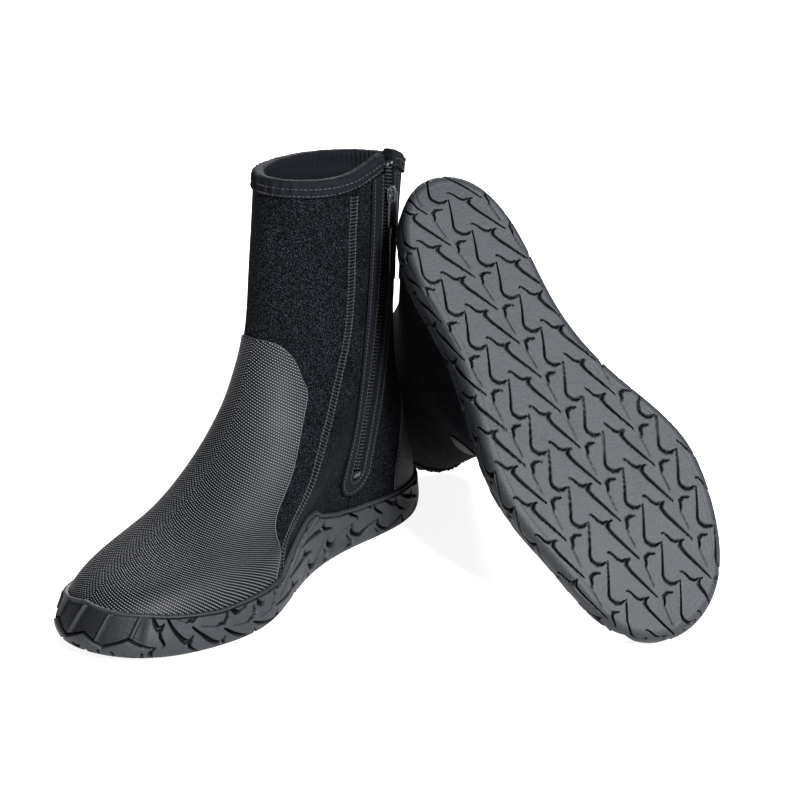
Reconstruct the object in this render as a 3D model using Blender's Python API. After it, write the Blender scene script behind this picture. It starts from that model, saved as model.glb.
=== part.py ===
"""A pair of zipped neoprene boots with moulded rubber soles.

The right boot stands upright. The left boot is its mirror image and leans against it, standing on
its toe and its collar with the sole turned up. One surface, worked out from a short table of rings,
shapes every soft panel: a panel is a patch of that surface with a thickness. Each boot is modelled
with its heel at y = 0, its toe towards -Y and the zip on its inner side, which is +X on the right
boot. All sizes in this file are millimetres, and every mesh is scaled to metres as it is made.
"""

import math

import bmesh
import bpy
import numpy as np
from mathutils import Matrix, Vector

MM = 0.001
TAU = 2 * math.pi

# Driving sizes of one boot.
SOLE_LENGTH = 298.0
SOLE_FLOOR = 6.3
TOE_SPRING = 7.5
TOE_SPRING_STARTS = -205.0
HEEL_BEVEL = 1.5
HEEL_BEVEL_STARTS = -22.0
NEOPRENE = 5.0
RAND_THICKNESS = 3.6
GAP = 0.3
BONDED_GAP = 0.7
OVERLAY_GAP = 1.6
COLLAR_LIFT = 12.0
BINDING_DEPTH = 9.0
BINDING_THICKNESS = 1.1

# Half widths of the sole from heel to toe, each divided by the sine of the angle round the ring,
# and the sideways shift of the foot's centre line.
STATIONS = [0.0, 0.14, 0.32, 0.5, 0.67, 0.82, 1.0]
OUTER_HALF_WIDTH = [60, 51, 40, 49, 58.5, 59, 76]
INNER_HALF_WIDTH = [60, 47, 34.5, 41.5, 62.5, 69, 80]
CENTRE_SHIFT = [-4, -3.5, -2, 1.5, 4, 6, 8]

# Rings that the upper passes through, from the sole to the collar: height share, heel y and z,
# toe y and z, share of the sole outline, share of the round shaft, and the shaft's half width.
RINGS = [
    (0.00, -4.0, 9.7, -293.5, 9.7, 0.93, 0.00, 36.0),
    (0.10, -5.0, 36.0, -277.0, 34.0, 0.85, 0.00, 33.0),
    (0.20, -8.0, 52.0, -235.0, 50.0, 0.77, 0.15, 32.0),
    (0.34, -18.0, 80.0, -185.0, 76.0, 0.80, 0.50, 34.0),
    (0.50, -25.0, 112.0, -155.0, 110.0, 0.83, 0.90, 32.5),
    (0.66, -27.0, 146.0, -140.0, 148.0, 0.84, 1.00, 32.5),
    (0.82, -25.0, 188.0, -134.0, 191.0, 0.84, 1.00, 33.0),
    (1.00, -21.5, 234.0, -126.0, 238.0, 0.84, 1.00, 36.0),
]

# The rubber rand's top edge: angle round the ring, and height over the ground.
RAND_ANGLE = [0.0, 0.9, 1.1, 1.25, 1.4, 1.5, 1.6, 1.7, 1.8, 2.2, 2.65, 3.14, 3.6, 4.1, 4.6, 5.2, TAU]
RAND_HEIGHT = [26, 25, 26, 29, 35, 41, 42, 33, 23, 22, 28, 31, 26, 22, 27, 28, 26]

# The zip runs down the inner side along an arc of a circle in one plane.
ZIP_TOP = np.array([36.0, -63.5, 243.0])
ZIP_BOTTOM = np.array([25.9, -82.0, 50.0])
ZIP_RADIUS = 620.0
ZIP_BLEND_ANGLE = 0.33
NEOPRENE_FROM_ZIP = 5.0
TOOTH_ROW = (0.8, 3.2)
TOOTH_PITCH = 12.0
TAPE_ROW = (3.5, 14.5)
FACING_ROW = (5.0, 15.0)
TAPE_STARTS = 6.0
SLIDER_FROM_TOP = 20.0
SLIDER_LENGTH = 11.0

# The flatlock seam in front of the zip, and the seam at the outer back.
SEAM_SHARE = [0.0, 0.05, 0.18, 0.36, 0.475, 0.65, 0.76, 1.0]
SEAM_ANGLE = [1.77, 1.77, 1.84, 1.97, 1.85, 1.74, 1.755, 1.86]
BACK_SEAM_ANGLE = 5.75

# The textured toe overlay's inner edge, mirrored for its outer edge, and the heel patch.
OVERLAY_SHARE = [0.0, 0.06, 0.12, 0.2, 0.29, 0.37, 0.47, 0.54, 0.6, 0.635, 0.65]
OVERLAY_ANGLE = [1.84, 1.84, 1.95, 2.12, 2.19, 2.22, 2.2, 2.22, 2.36, 2.6, 2.8]
HEEL_PATCH_ANGLE = 0.78
HEEL_PATCH_TOP = 0.37
BUMPER_ANGLES = (2.55, 4.05)

# Where the left boot leans: its toe tip's place, and the turns of its sole.
LEAN_TOE = (255.2, -79.0, 15.1)
LEAN_YAW = -7.0
LEAN_TILT = 49.86
LEAN_ROLL = -23.8

# The assembly's origin is under the middle of the right sole.
ORIGIN_FROM_HEEL = 145.0

COLOURS = {
    "neoprene": ((0.022, 0.024, 0.028), 0.85, 0.0),
    "overlay": ((0.055, 0.06, 0.068), 0.6, 0.0),
    "rubber": ((0.06, 0.064, 0.07), 0.5, 0.0),
    "binding": ((0.02, 0.021, 0.024), 0.8, 0.0),
    "zip_tape": ((0.015, 0.015, 0.018), 0.85, 0.0),
    "zip_teeth": ((0.03, 0.03, 0.033), 0.4, 0.0),
    "zip_metal": ((0.1, 0.1, 0.11), 0.35, 0.8),
    "footbed": ((0.05, 0.05, 0.055), 0.9, 0.0),
}


def spline(knots, values, at):
    """Natural cubic curve through values at knots, read at any array of places."""
    knots = np.asarray(knots, float)
    values = np.asarray(values, float)
    count = len(knots)
    step = np.diff(knots)
    system = np.eye(count)
    right = np.zeros_like(values)
    for i in range(1, count - 1):
        system[i, i - 1 : i + 2] = step[i - 1], 2 * (step[i - 1] + step[i]), step[i]
        slopes = (values[i + 1] - values[i]) / step[i] - (values[i] - values[i - 1]) / step[i - 1]
        right[i] = 6 * slopes
    bend = np.linalg.solve(system, right.reshape(count, -1)).reshape(values.shape)
    at = np.asarray(at, float)
    k = np.clip(np.searchsorted(knots, at) - 1, 0, count - 2)
    shape = at.shape + (1,) * (values.ndim - 1)
    low = ((knots[k + 1] - at) / step[k]).reshape(shape)
    high = 1 - low
    wide = step[k].reshape(shape)
    curve = ((low**3 - low) * bend[k] + (high**3 - high) * bend[k + 1]) * wide**2 / 6
    return low * values[k] + high * values[k + 1] + curve


def ring_rows():
    """Each ring as one row: its end points, then outer, inner and centre values at the stations."""
    rows = []
    for _, heel_y, heel_z, toe_y, toe_z, sole_share, shaft_share, half_width in RINGS:
        sole = sole_share * (1 - shaft_share)
        shaft = half_width * shaft_share
        outer = np.array(OUTER_HALF_WIDTH) * sole + shaft
        inner = np.array(INNER_HALF_WIDTH) * sole + shaft
        centre = np.array(CENTRE_SHIFT) * (1 - shaft_share)
        rows.append(np.concatenate([[heel_y, heel_z, toe_y, toe_z], outer, inner, centre]))
    return np.array(rows)


RING_SHARES = [ring[0] for ring in RINGS]
RING_ROWS = ring_rows()
STATION_BASIS = np.eye(len(STATIONS))


def turn_between(angle, centre):
    """The signed angle from centre to angle, the short way round."""
    return (angle - centre + math.pi) % TAU - math.pi


def sole_rise(y):
    """How far the sole bends up off the ground: a toe spring, and a slight bevel at the heel."""
    toe = np.clip((TOE_SPRING_STARTS - y) / (TOE_SPRING_STARTS + SOLE_LENGTH), 0, None)
    heel = np.clip((y - HEEL_BEVEL_STARTS) / -HEEL_BEVEL_STARTS, 0, None)
    return TOE_SPRING * toe**2 + HEEL_BEVEL * heel**2


def plain_surface(angle, share):
    """The upper's outside before the zip is drawn flat. Angle 0 is the heel, and pi the toe."""
    angle, share = np.broadcast_arrays(np.asarray(angle, float), np.asarray(share, float))
    row = spline(RING_SHARES, RING_ROWS, share)
    along = (1 - np.cos(angle)) / 2
    basis = spline(STATIONS, STATION_BASIS, along)
    count = len(STATIONS)
    outer, inner, centre = (
        (basis * row[..., 4 + i * count : 4 + (i + 1) * count]).sum(-1) for i in range(3)
    )
    x = centre + np.where(np.sin(angle) >= 0, inner, outer) * np.sin(angle)
    y = row[..., 0] + (row[..., 2] - row[..., 0]) * along
    z = row[..., 1] + (row[..., 3] - row[..., 1]) * along
    z = z + sole_rise(y) * np.clip(1 - share / 0.15, 0, None)
    lift = COLLAR_LIFT * np.exp(-((turn_between(angle, 1.3) / 0.5) ** 2))
    z = z + lift * np.clip((share - 0.75) / 0.25, 0, None) ** 2
    return np.stack([x, y, z], -1)


# The zip's plane and circle.
ZIP_SIDE = np.array([0.0, 1.0, 0.0])
ZIP_DOWN = ZIP_BOTTOM - ZIP_TOP
ZIP_DOWN = ZIP_DOWN - ZIP_SIDE * ZIP_DOWN[1]
ZIP_DROP = float(np.linalg.norm(ZIP_DOWN))
ZIP_DOWN = ZIP_DOWN / ZIP_DROP
ZIP_OUT = np.cross(ZIP_DOWN, ZIP_SIDE)
ZIP_CHORD = ZIP_BOTTOM - ZIP_TOP
ZIP_HALF = float(np.linalg.norm(ZIP_CHORD)) / 2
ZIP_INWARD = np.cross(ZIP_OUT, ZIP_CHORD / (2 * ZIP_HALF))
ZIP_INWARD = ZIP_INWARD if ZIP_INWARD[1] < 0 else -ZIP_INWARD
ZIP_CENTRE = (ZIP_TOP + ZIP_BOTTOM) / 2 + ZIP_INWARD * math.sqrt(ZIP_RADIUS**2 - ZIP_HALF**2)
ZIP_START = math.asin(float((ZIP_TOP - ZIP_CENTRE) @ ZIP_DOWN) / ZIP_RADIUS)
ZIP_LENGTH = 2 * ZIP_RADIUS * math.asin(ZIP_HALF / ZIP_RADIUS)


def zip_point(run):
    """The point on the zip's circle at this distance from its top end."""
    turn = ZIP_START + np.asarray(run, float)[..., None] / ZIP_RADIUS
    return ZIP_CENTRE + ZIP_RADIUS * (np.cos(turn) * ZIP_SIDE + np.sin(turn) * ZIP_DOWN)


def zip_meridian():
    """Where the plain surface crosses the zip: share, angle, height, and the shift to its plane."""
    shares = np.linspace(0, 1, 61)
    angles = np.linspace(0.5, 2.0, 301)
    runs = np.linspace(-40, ZIP_LENGTH + 80, 400)
    path = zip_point(runs)[::-1]
    rows = []
    for share in shares:
        points = plain_surface(angles, share)
        off = points[:, 1] - np.interp(points[:, 2], path[:, 2], path[:, 1])
        angle = np.interp(0, -off, angles)
        x, _, z = plain_surface(angle, share)
        rows.append((share, angle, z, np.interp(z, path[:, 2], path[:, 0]) - x))
    return np.array(rows).T


ZIP_SHARES, ZIP_ANGLES, ZIP_HEIGHTS, ZIP_SHIFTS = zip_meridian()


def surface(angle, share):
    """The upper's outside, drawn in or out near the zip so that the zip lies in its plane."""
    point = plain_surface(angle, share)
    beside = turn_between(angle, np.interp(share, ZIP_SHARES, ZIP_ANGLES)) / ZIP_BLEND_ANGLE
    point[..., 0] += np.interp(share, ZIP_SHARES, ZIP_SHIFTS) * np.exp(-(beside**2))
    return point


def offset(angle, share, height):
    """A point this far out from the surface, along its normal, which lies flat at the sole."""
    step = 1e-3
    angle, share = np.broadcast_arrays(np.asarray(angle, float), np.asarray(share, float))
    round_ring = surface(angle + step, share) - surface(angle - step, share)
    up_ring = surface(angle, share + step) - surface(angle, share - step)
    normal = np.cross(up_ring, round_ring)
    normal[..., 2] *= np.clip(share / 0.06, 0, 1)
    normal /= np.linalg.norm(normal, axis=-1, keepdims=True)
    return surface(angle, share) + normal * np.asarray(height, float)[..., None]


def share_at_height(angle, height):
    """The height share at which the surface reaches a height over the ground, at each angle."""
    shares = np.linspace(0, 0.3, 61)
    heights = surface(np.asarray(angle)[:, None], shares[None, :])[..., 2]
    return np.array([np.interp(h, row, shares) for h, row in zip(height, heights)])


def rand_share(angle):
    """The rand's top edge as a height share."""
    angle = np.asarray(angle, float)
    flat = angle.ravel() % TAU
    height = np.interp(flat, RAND_ANGLE, RAND_HEIGHT)
    return share_at_height(flat, height).reshape(angle.shape)


def beside_zip(run, across):
    """Angle and share of a place given by its run down the zip and its distance in front of it."""
    run, across = np.broadcast_arrays(np.asarray(run, float), np.asarray(across, float))
    share = np.interp(zip_point(run)[..., 2], ZIP_HEIGHTS, ZIP_SHARES)
    start = np.interp(share, ZIP_SHARES, ZIP_ANGLES)
    angle = start + across / 52.0
    for _ in range(3):
        middle = (start + angle) / 2
        chord = surface(middle + 1e-3, share) - surface(middle - 1e-3, share)
        angle = start + across / (np.linalg.norm(chord, axis=-1) / 2e-3)
    return angle, share


# Placing and naming.

def lean_matrix():
    """Mirrors a boot to a left one and leans it: yaw about Z, then the sole's tilt and roll."""
    yaw, tilt, roll = (math.radians(a) for a in (LEAN_YAW, LEAN_TILT, LEAN_ROLL))
    ahead = Vector((math.cos(yaw), math.sin(yaw), 0))
    up = Vector((0, 0, 1))
    heelward = up * math.sin(tilt) - ahead * math.cos(tilt)
    sole_out = ahead * math.sin(tilt) + up * math.cos(tilt)
    side = heelward.cross(-sole_out)
    side_rolled = side * math.cos(roll) + sole_out * math.sin(roll)
    out_rolled = sole_out * math.cos(roll) - side * math.sin(roll)
    turn = Matrix((side_rolled, heelward, -out_rolled)).transposed().to_4x4()
    toe_to_origin = Matrix.Translation((0, SOLE_LENGTH - 4, 0))
    mirror = Matrix.Diagonal((-1, 1, 1, 1))
    return Matrix.Translation(LEAN_TOE) @ turn @ toe_to_origin @ mirror


CENTRING = Matrix.Translation((0, ORIGIN_FROM_HEEL, 0))
PLACES = {"right": CENTRING, "left": CENTRING @ lean_matrix()}


def placed(points, side):
    """Points in a boot's own frame taken to the assembly's, in metres."""
    matrix = np.array(PLACES[side])
    return (np.asarray(points, float) @ matrix[:3, :3].T + matrix[:3, 3]) * MM


def material_of(name):
    """The named material, made when it is first asked for."""
    found = bpy.data.materials.get(name)
    if found:
        return found
    colour, roughness, metallic = COLOURS[name.split(".")[1]]
    found = bpy.data.materials.new(name)
    found.use_nodes = True
    shader = found.node_tree.nodes["Principled BSDF"]
    shader.inputs["Base Color"].default_value = (*colour, 1)
    shader.inputs["Roughness"].default_value = roughness
    shader.inputs["Metallic"].default_value = metallic
    return found


def make_node(side, name, points, faces, finish, pivot=None):
    """One closed object, with its origin on its pivot where it turns about one."""
    mesh = bpy.data.meshes.new(f"{side}_{name}")
    origin = placed(pivot, side) if pivot is not None else np.zeros(3)
    mesh.from_pydata((placed(points, side) - origin).tolist(), [], faces)
    build = bmesh.new()
    build.from_mesh(mesh)
    bmesh.ops.recalc_face_normals(build, faces=build.faces)
    build.to_mesh(mesh)
    build.free()
    mesh.shade_smooth()
    mesh.set_sharp_from_angle(angle=math.radians(35))
    node = bpy.data.objects.new(f"{side}_{name}", mesh)
    node.location = origin
    node.data.materials.append(material_of(f"{side}_{name}.{finish}"))
    bpy.context.scene.collection.objects.link(node)
    return node


# Shapes.

def slab(outside, inside):
    """A closed solid between two grids of points of the same size."""
    rows, columns = outside.shape[:2]
    points = np.concatenate([outside.reshape(-1, 3), inside.reshape(-1, 3)])
    under = rows * columns
    faces = []
    for i in range(rows - 1):
        for j in range(columns - 1):
            a, b = i * columns + j, (i + 1) * columns + j
            faces.append((a, a + 1, b + 1, b))
            faces.append((under + a, under + b, under + b + 1, under + a + 1))
    rim = [j for j in range(columns)]
    rim += [(i + 1) * columns - 1 for i in range(1, rows)]
    rim += [(rows - 1) * columns + j for j in range(columns - 2, -1, -1)]
    rim += [i * columns for i in range(rows - 2, 0, -1)]
    for a, b in zip(rim, rim[1:] + rim[:1]):
        faces.append((b, a, under + a, under + b))
    return points, faces


def patch(angle, share, low, high):
    """A slab of the upper between two heights over its surface."""
    return slab(offset(angle, share, np.full(angle.shape, high)),
                offset(angle, share, np.full(angle.shape, low)))


def zip_patch(run, across, low, high):
    """A slab laid out in the zip's own directions."""
    angle, share = beside_zip(run, across)
    return patch(angle, share, low, high)


def prism(rings, cap_strips=False):
    """A closed solid through rings of points, with its ends capped."""
    count = len(rings[0])
    points = np.concatenate(rings)
    faces = []
    for level in range(len(rings) - 1):
        for i in range(count):
            j = (i + 1) % count
            low, high = level * count, (level + 1) * count
            faces.append((low + i, low + j, high + j, high + i))
    for start in (0, (len(rings) - 1) * count):
        if not cap_strips:
            faces.append(tuple(range(start, start + count)))
            continue
        faces.append((start, start + 1, start + count - 1))
        for i in range(1, count // 2 - 1):
            strip = (i, i + 1, count - i - 1, count - i)
            faces.append(tuple(start + k for k in strip))
        half = count // 2
        faces.append((start + half - 1, start + half, start + half + 1))
    return points, faces


def ring_angles():
    """Angles round the sole, the same on both sides so that strips run straight across it."""
    half = list(np.linspace(0, math.pi, 27))
    edge = [BUMPER_ANGLES[0] - 0.004, BUMPER_ANGLES[0] + 0.004]
    other = [TAU - BUMPER_ANGLES[1] - 0.004, TAU - BUMPER_ANGLES[1] + 0.004]
    half = sorted(set(half + edge + other))
    back = [TAU - a for a in reversed(half[1:-1])]
    return np.array(half + back)


def sole_outline(angle, inset, height):
    """The outsole's own outline drawn in by inset, at a height over the bent ground line."""
    along = (1 - np.cos(angle)) / 2
    basis = spline(STATIONS, STATION_BASIS, along)
    outer, inner, centre = (
        (basis * np.array(values)).sum(-1)
        for values in (OUTER_HALF_WIDTH, INNER_HALF_WIDTH, CENTRE_SHIFT)
    )
    half = np.where(np.sin(angle) >= 0, inner, outer) - inset
    y = -SOLE_LENGTH / 2 + (SOLE_LENGTH / 2 - inset) * np.cos(angle)
    return np.stack([centre + half * np.sin(angle), y, sole_rise(y) + height], -1)


def flat_ring(angle, inset, height):
    """The upper's lowest ring drawn in by inset, at a height over the bent ground line."""
    ring = offset(angle, 0.0, np.full(angle.shape, -inset))
    ring[:, 2] = sole_rise(ring[:, 1]) + height
    return ring


# Sub-parts of one boot.

def outsole(side):
    """The tread slab and the rand round the upper, moulded as one open cup."""
    angle = ring_angles()
    under_bumper = (angle > BUMPER_ANGLES[0]) & (angle < BUMPER_ANGLES[1])
    wall = np.where(under_bumper, 1.6, RAND_THICKNESS)
    top = rand_share(angle)
    rings = [
        sole_outline(angle, 8.0, 0.0),
        sole_outline(angle, 2.0, 1.8),
        sole_outline(angle, np.where(under_bumper, 2.2, 0.3), 6.0),
        offset(angle, 0.0, wall),
        offset(angle, top / 2, wall),
        offset(angle, top, wall - 0.4),
        offset(angle, top, np.full(angle.shape, BONDED_GAP)),
        offset(angle, top / 2, np.full(angle.shape, BONDED_GAP)),
        offset(angle, 0.0, np.full(angle.shape, BONDED_GAP)),
        flat_ring(angle, -BONDED_GAP, SOLE_FLOOR),
    ]
    points, faces = prism(rings, cap_strips=True)
    make_node(side, "outsole", points, faces, "rubber")


def toe_bumper(side):
    """A separate moulded cap on the outside of the rand round the toe."""
    angle, level = np.meshgrid(np.linspace(*BUMPER_ANGLES, 15)[1:-1], np.linspace(0, 1, 4), indexing="ij")
    share = rand_share(angle) * level
    points, faces = patch(angle, share, 1.9, RAND_THICKNESS + 1.2)
    make_node(side, "toe_bumper", points, faces, "rubber")


def inner_soles(side):
    """The sock sole that the panels are sewn to, and the loose footbed on it."""
    angle = ring_angles()
    sock = [flat_ring(angle, 0.6, SOLE_FLOOR + GAP), flat_ring(angle, 0.6, 9.3)]
    make_node(side, "sock_sole", *prism(sock, cap_strips=True), "neoprene")
    angle = np.linspace(0, TAU, 41)[:-1]
    bed = [flat_ring(angle, 6.2, 9.7), flat_ring(angle, 8.4, 12.9)]
    make_node(side, "footbed", *prism(bed, cap_strips=True), "footbed")


def panel(side, name, start, end, columns, shares):
    """A neoprene panel between two seams, which are functions of the height share."""
    share, across = np.meshgrid(shares, np.linspace(0, 1, columns))
    first, last = start(share) + 0.004, end(share) - 0.004
    points, faces = patch(first + (last - first) * across, share, -NEOPRENE, 0.0)
    make_node(side, name, points, faces, "neoprene")


def upper_panels(side):
    """The front panel, the inner quarter in front of the zip, and the heel quarter behind it."""
    shares = np.array([0, 0.06, 0.12, 0.18, 0.24, 0.3, 0.36, 0.42, 0.48, 0.54, 0.6, 0.66, 0.74, 0.86, 1.0])

    def front_seam(share):
        return np.interp(share, SEAM_SHARE, SEAM_ANGLE)

    def back_seam(share):
        return np.full(np.shape(share), BACK_SEAM_ANGLE)

    def zip_edge(share, across):
        run = np.interp(-np.interp(share, ZIP_SHARES, ZIP_HEIGHTS), -RUN_HEIGHTS, RUNS)
        return beside_zip(run, across)[0]

    panel(side, "front_panel", front_seam, back_seam, 20, shares)
    panel(side, "inner_quarter", lambda s: zip_edge(s, NEOPRENE_FROM_ZIP), front_seam, 5, shares)
    panel(side, "heel_quarter", lambda s: back_seam(s) - TAU, lambda s: zip_edge(s, -NEOPRENE_FROM_ZIP), 11, shares)


RUNS = np.linspace(-30, ZIP_LENGTH + 60, 300)
RUN_HEIGHTS = zip_point(RUNS)[:, 2]


def overlays(side):
    """The textured rubberised patches bonded over the toe and the heel."""
    across, level = np.meshgrid(np.linspace(0, 1, 14), np.linspace(0, 1, 13), indexing="ij")
    inner = np.interp(level * OVERLAY_SHARE[-1], OVERLAY_SHARE, OVERLAY_ANGLE)
    angle = inner + (TAU - 2 * inner) * across
    bottom = rand_share(angle) + 0.008
    level = 1 - (1 - level) ** 1.25
    share = bottom + (OVERLAY_SHARE[-1] - bottom) * level
    make_node(side, "toe_overlay", *patch(angle, share, OVERLAY_GAP, OVERLAY_GAP + 0.8), "overlay")
    across, level = np.meshgrid(np.linspace(-1, 1, 9), np.linspace(0, 1, 7), indexing="ij")
    angle = HEEL_PATCH_ANGLE * across * np.sqrt(1 - 0.6 * level**2)
    bottom = rand_share(angle) + 0.008
    share = bottom + (HEEL_PATCH_TOP - bottom) * level
    make_node(side, "heel_overlay", *patch(angle, share, OVERLAY_GAP, OVERLAY_GAP + 0.8), "overlay")


def collar_binding(side):
    """A folded strip over the top edge, from one side of the zip round to the other."""
    start, end = (beside_zip(2.0, edge)[0] for edge in (NEOPRENE_FROM_ZIP, -NEOPRENE_FROM_ZIP))
    angle = np.linspace(float(start), float(end) + TAU, 33)
    step = 1e-3
    rate = np.linalg.norm(surface(angle, 1.0) - surface(angle, 1 - step), axis=-1) / step
    thick = BINDING_THICKNESS
    inside = -NEOPRENE - 0.6
    profile = [
        (-BINDING_DEPTH, 0.5 + thick), (GAP + thick, 0.5 + thick), (GAP + thick, inside - thick),
        (-BINDING_DEPTH, inside - thick), (-BINDING_DEPTH, inside), (GAP, inside),
        (GAP, 0.5), (-BINDING_DEPTH, 0.5),
    ]
    lines = [offset(angle, 1 + up / rate, np.full(angle.shape, out)) for up, out in profile]
    rings = list(np.stack(lines, axis=1))
    make_node(side, "collar_binding", *prism(rings), "binding")


def zip_strip(side, name, runs, edges, low, high, finish):
    """A strip along the zip between two distances from it, which may change along the run."""
    run = np.repeat(np.asarray(runs, float)[:, None], 2, axis=1)
    across = np.stack(edges, axis=1)
    make_node(side, name, *zip_patch(run, across, low, high), finish)


def zip_chain(side):
    """Tapes, tooth rows and stops, in front of the zip's line (+1) and behind it (-1)."""
    for name, sign in (("front", 1.0), ("rear", -1.0)):
        runs = np.linspace(TAPE_STARTS, ZIP_LENGTH + 2, 17)
        flat = np.ones(len(runs))
        edges = (sign * TAPE_ROW[0] * flat, sign * TAPE_ROW[1] * flat)
        zip_strip(side, f"zip_tape_{name}", runs, edges, 0.5, 1.0, "zip_tape")
        starts = np.arange(2.2, ZIP_LENGTH - TOOTH_PITCH, TOOTH_PITCH)
        steps = np.array([0.0, 5.0, 6.0, 11.0])
        runs = np.append((starts[:, None] + steps).ravel(), ZIP_LENGTH - 0.3)
        inner = np.tile([TOOTH_ROW[0], TOOTH_ROW[0], 1.8, 1.8], len(starts))
        inner = sign * np.append(inner, TOOTH_ROW[0])
        edges = (inner, np.full(len(runs), sign * TOOTH_ROW[1]))
        zip_strip(side, f"zip_teeth_{name}", runs, edges, -0.6, 1.8, "zip_teeth")
        edges = (np.full(2, sign * TOOTH_ROW[0]), np.full(2, sign * TOOTH_ROW[1]))
        zip_strip(side, f"zip_top_stop_{name}", [0.2, 1.8], edges, -0.6, 2.0, "zip_metal")
    edges = (np.full(2, -3.0), np.full(2, 3.0))
    zip_strip(side, "zip_bottom_stop", [ZIP_LENGTH + 0.5, ZIP_LENGTH + 3.2], edges, -0.4, 2.0, "zip_metal")


def zip_facing(side):
    """A U of fabric sewn round the zip: down its front, round its foot and up behind it."""
    straight = np.linspace(TAPE_STARTS, ZIP_LENGTH, 15)
    bend = np.linspace(0, math.pi, 9)[1:-1]
    run, across = [], []
    for reach in np.linspace(*FACING_ROW, 3):
        run.append(np.concatenate([straight, ZIP_LENGTH + reach * np.sin(bend), straight[::-1]]))
        across.append(np.concatenate([
            np.full(15, reach), reach * np.cos(bend), np.full(15, -reach),
        ]))
    points, faces = zip_patch(np.array(run).T, np.array(across).T, 1.3, 2.1)
    make_node(side, "zip_facing", points, faces, "binding")


def zip_gusset(side):
    """The sealing flap behind the zip, inside the boot."""
    run, across = np.meshgrid(np.linspace(17, ZIP_LENGTH + 4, 13), np.linspace(-14, 14, 5), indexing="ij")
    points, faces = zip_patch(run, across, -NEOPRENE - 2.2, -NEOPRENE - 0.4)
    make_node(side, "zip_gusset", points, faces, "neoprene")


def slider_frame():
    """The slider's place on the zip, and its directions down the zip, forward and outward."""
    origin = zip_point(SLIDER_FROM_TOP)
    radial = (origin - ZIP_CENTRE) / ZIP_RADIUS
    down = np.cross(radial, ZIP_OUT)
    down = down if down[2] < 0 else -down
    angle, share = beside_zip(SLIDER_FROM_TOP, 0.0)
    outward = offset(angle, share, 1.0) - offset(angle, share, 0.0)
    roll = math.atan2(float(outward @ radial), float(outward @ ZIP_OUT))
    out = math.cos(roll) * ZIP_OUT + math.sin(roll) * radial
    forward = math.sin(roll) * ZIP_OUT - math.cos(roll) * radial
    return origin, down, forward, out


def in_frame(frame, local):
    """Points given as (down, forward, out) taken to the boot's own frame."""
    origin, down, forward, out = frame
    local = np.asarray(local, float)
    return origin + local[..., :1] * down + local[..., 1:2] * forward + local[..., 2:3] * out


def box_between(frame, low, high):
    """A box in the slider's directions."""
    corners = [[(x, y, z) for y, z in ((low[1], low[2]), (high[1], low[2]), (high[1], high[2]), (low[1], high[2]))]
               for x in (low[0], high[0])]
    return prism([in_frame(frame, ring) for ring in corners])


def zip_slider(side):
    """Two plates joined by a thin post between the tooth rows, with a bridge for the pull."""
    frame = slider_frame()
    half = SLIDER_LENGTH / 2
    plate, post, top, bottom = 4.5, 0.35, 2.6, -1.5
    outline = [
        (-plate, top), (-plate, top + 0.9), (plate, top + 0.9), (plate, top), (post, top), (post, bottom),
        (plate - 0.5, bottom), (plate - 0.5, bottom - 0.9), (0.5 - plate, bottom - 0.9),
        (0.5 - plate, bottom), (-post, bottom), (-post, top),
    ]
    rings = [in_frame(frame, [(x, y, z) for y, z in outline]) for x in (-half, half)]
    pivot = ZIP_CENTRE
    slider = make_node(side, "zip_slider", *prism(rings), "zip_metal", pivot)
    arch = [(-4.2, 3.3), (-4.2, 5.2), (-3.2, 6.2), (3.2, 6.2), (4.2, 5.2), (4.2, 3.3),
            (3.2, 3.3), (3.2, 5.2), (-3.2, 5.2), (-3.2, 3.3)]
    rings = [in_frame(frame, [(x, y, z) for x, z in arch]) for y in (-0.9, 0.9)]
    bridge = make_node(side, "slider_bridge_shape", *prism(rings), "zip_metal", pivot)
    bridge.hide_render = True
    bridge.display_type = "WIRE"
    join = slider.modifiers.new("bridge", "BOOLEAN")
    join.operation = "UNION"
    join.object = bridge


PULL_BAR = (-1.5, 0.0, 4.35)
LOOP_LENGTH = 21.0
LOOP_HALF_WIDTH = 4.4
WIRE_RADIUS = 0.55


def wire_ring(frame, path, radius, sides=6):
    """A closed wire through points in the slider's directions, all at one height."""
    path = np.asarray(path, float)
    ahead = np.roll(path, -1, 0) - path
    behind = path - np.roll(path, 1, 0)
    ahead /= np.linalg.norm(ahead, axis=1, keepdims=True)
    behind /= np.linalg.norm(behind, axis=1, keepdims=True)
    along = ahead + behind
    along /= np.linalg.norm(along, axis=1, keepdims=True)
    up = np.array([0.0, 0.0, 1.0])
    aside = np.cross(along, up)
    stretch = 1 / np.clip((along * ahead).sum(1, keepdims=True), 0.5, 1)
    turns = np.arange(sides) * TAU / sides
    rings = [in_frame(frame, path + radius * (math.cos(t) * aside * stretch + math.sin(t) * up)) for t in turns]
    count = len(path)
    points = np.concatenate(rings)
    faces = []
    for i in range(sides):
        for j in range(count):
            a, b = i * count, ((i + 1) % sides) * count
            k = (j + 1) % count
            faces.append((a + j, a + k, b + k, b + j))
    return points, faces


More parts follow.
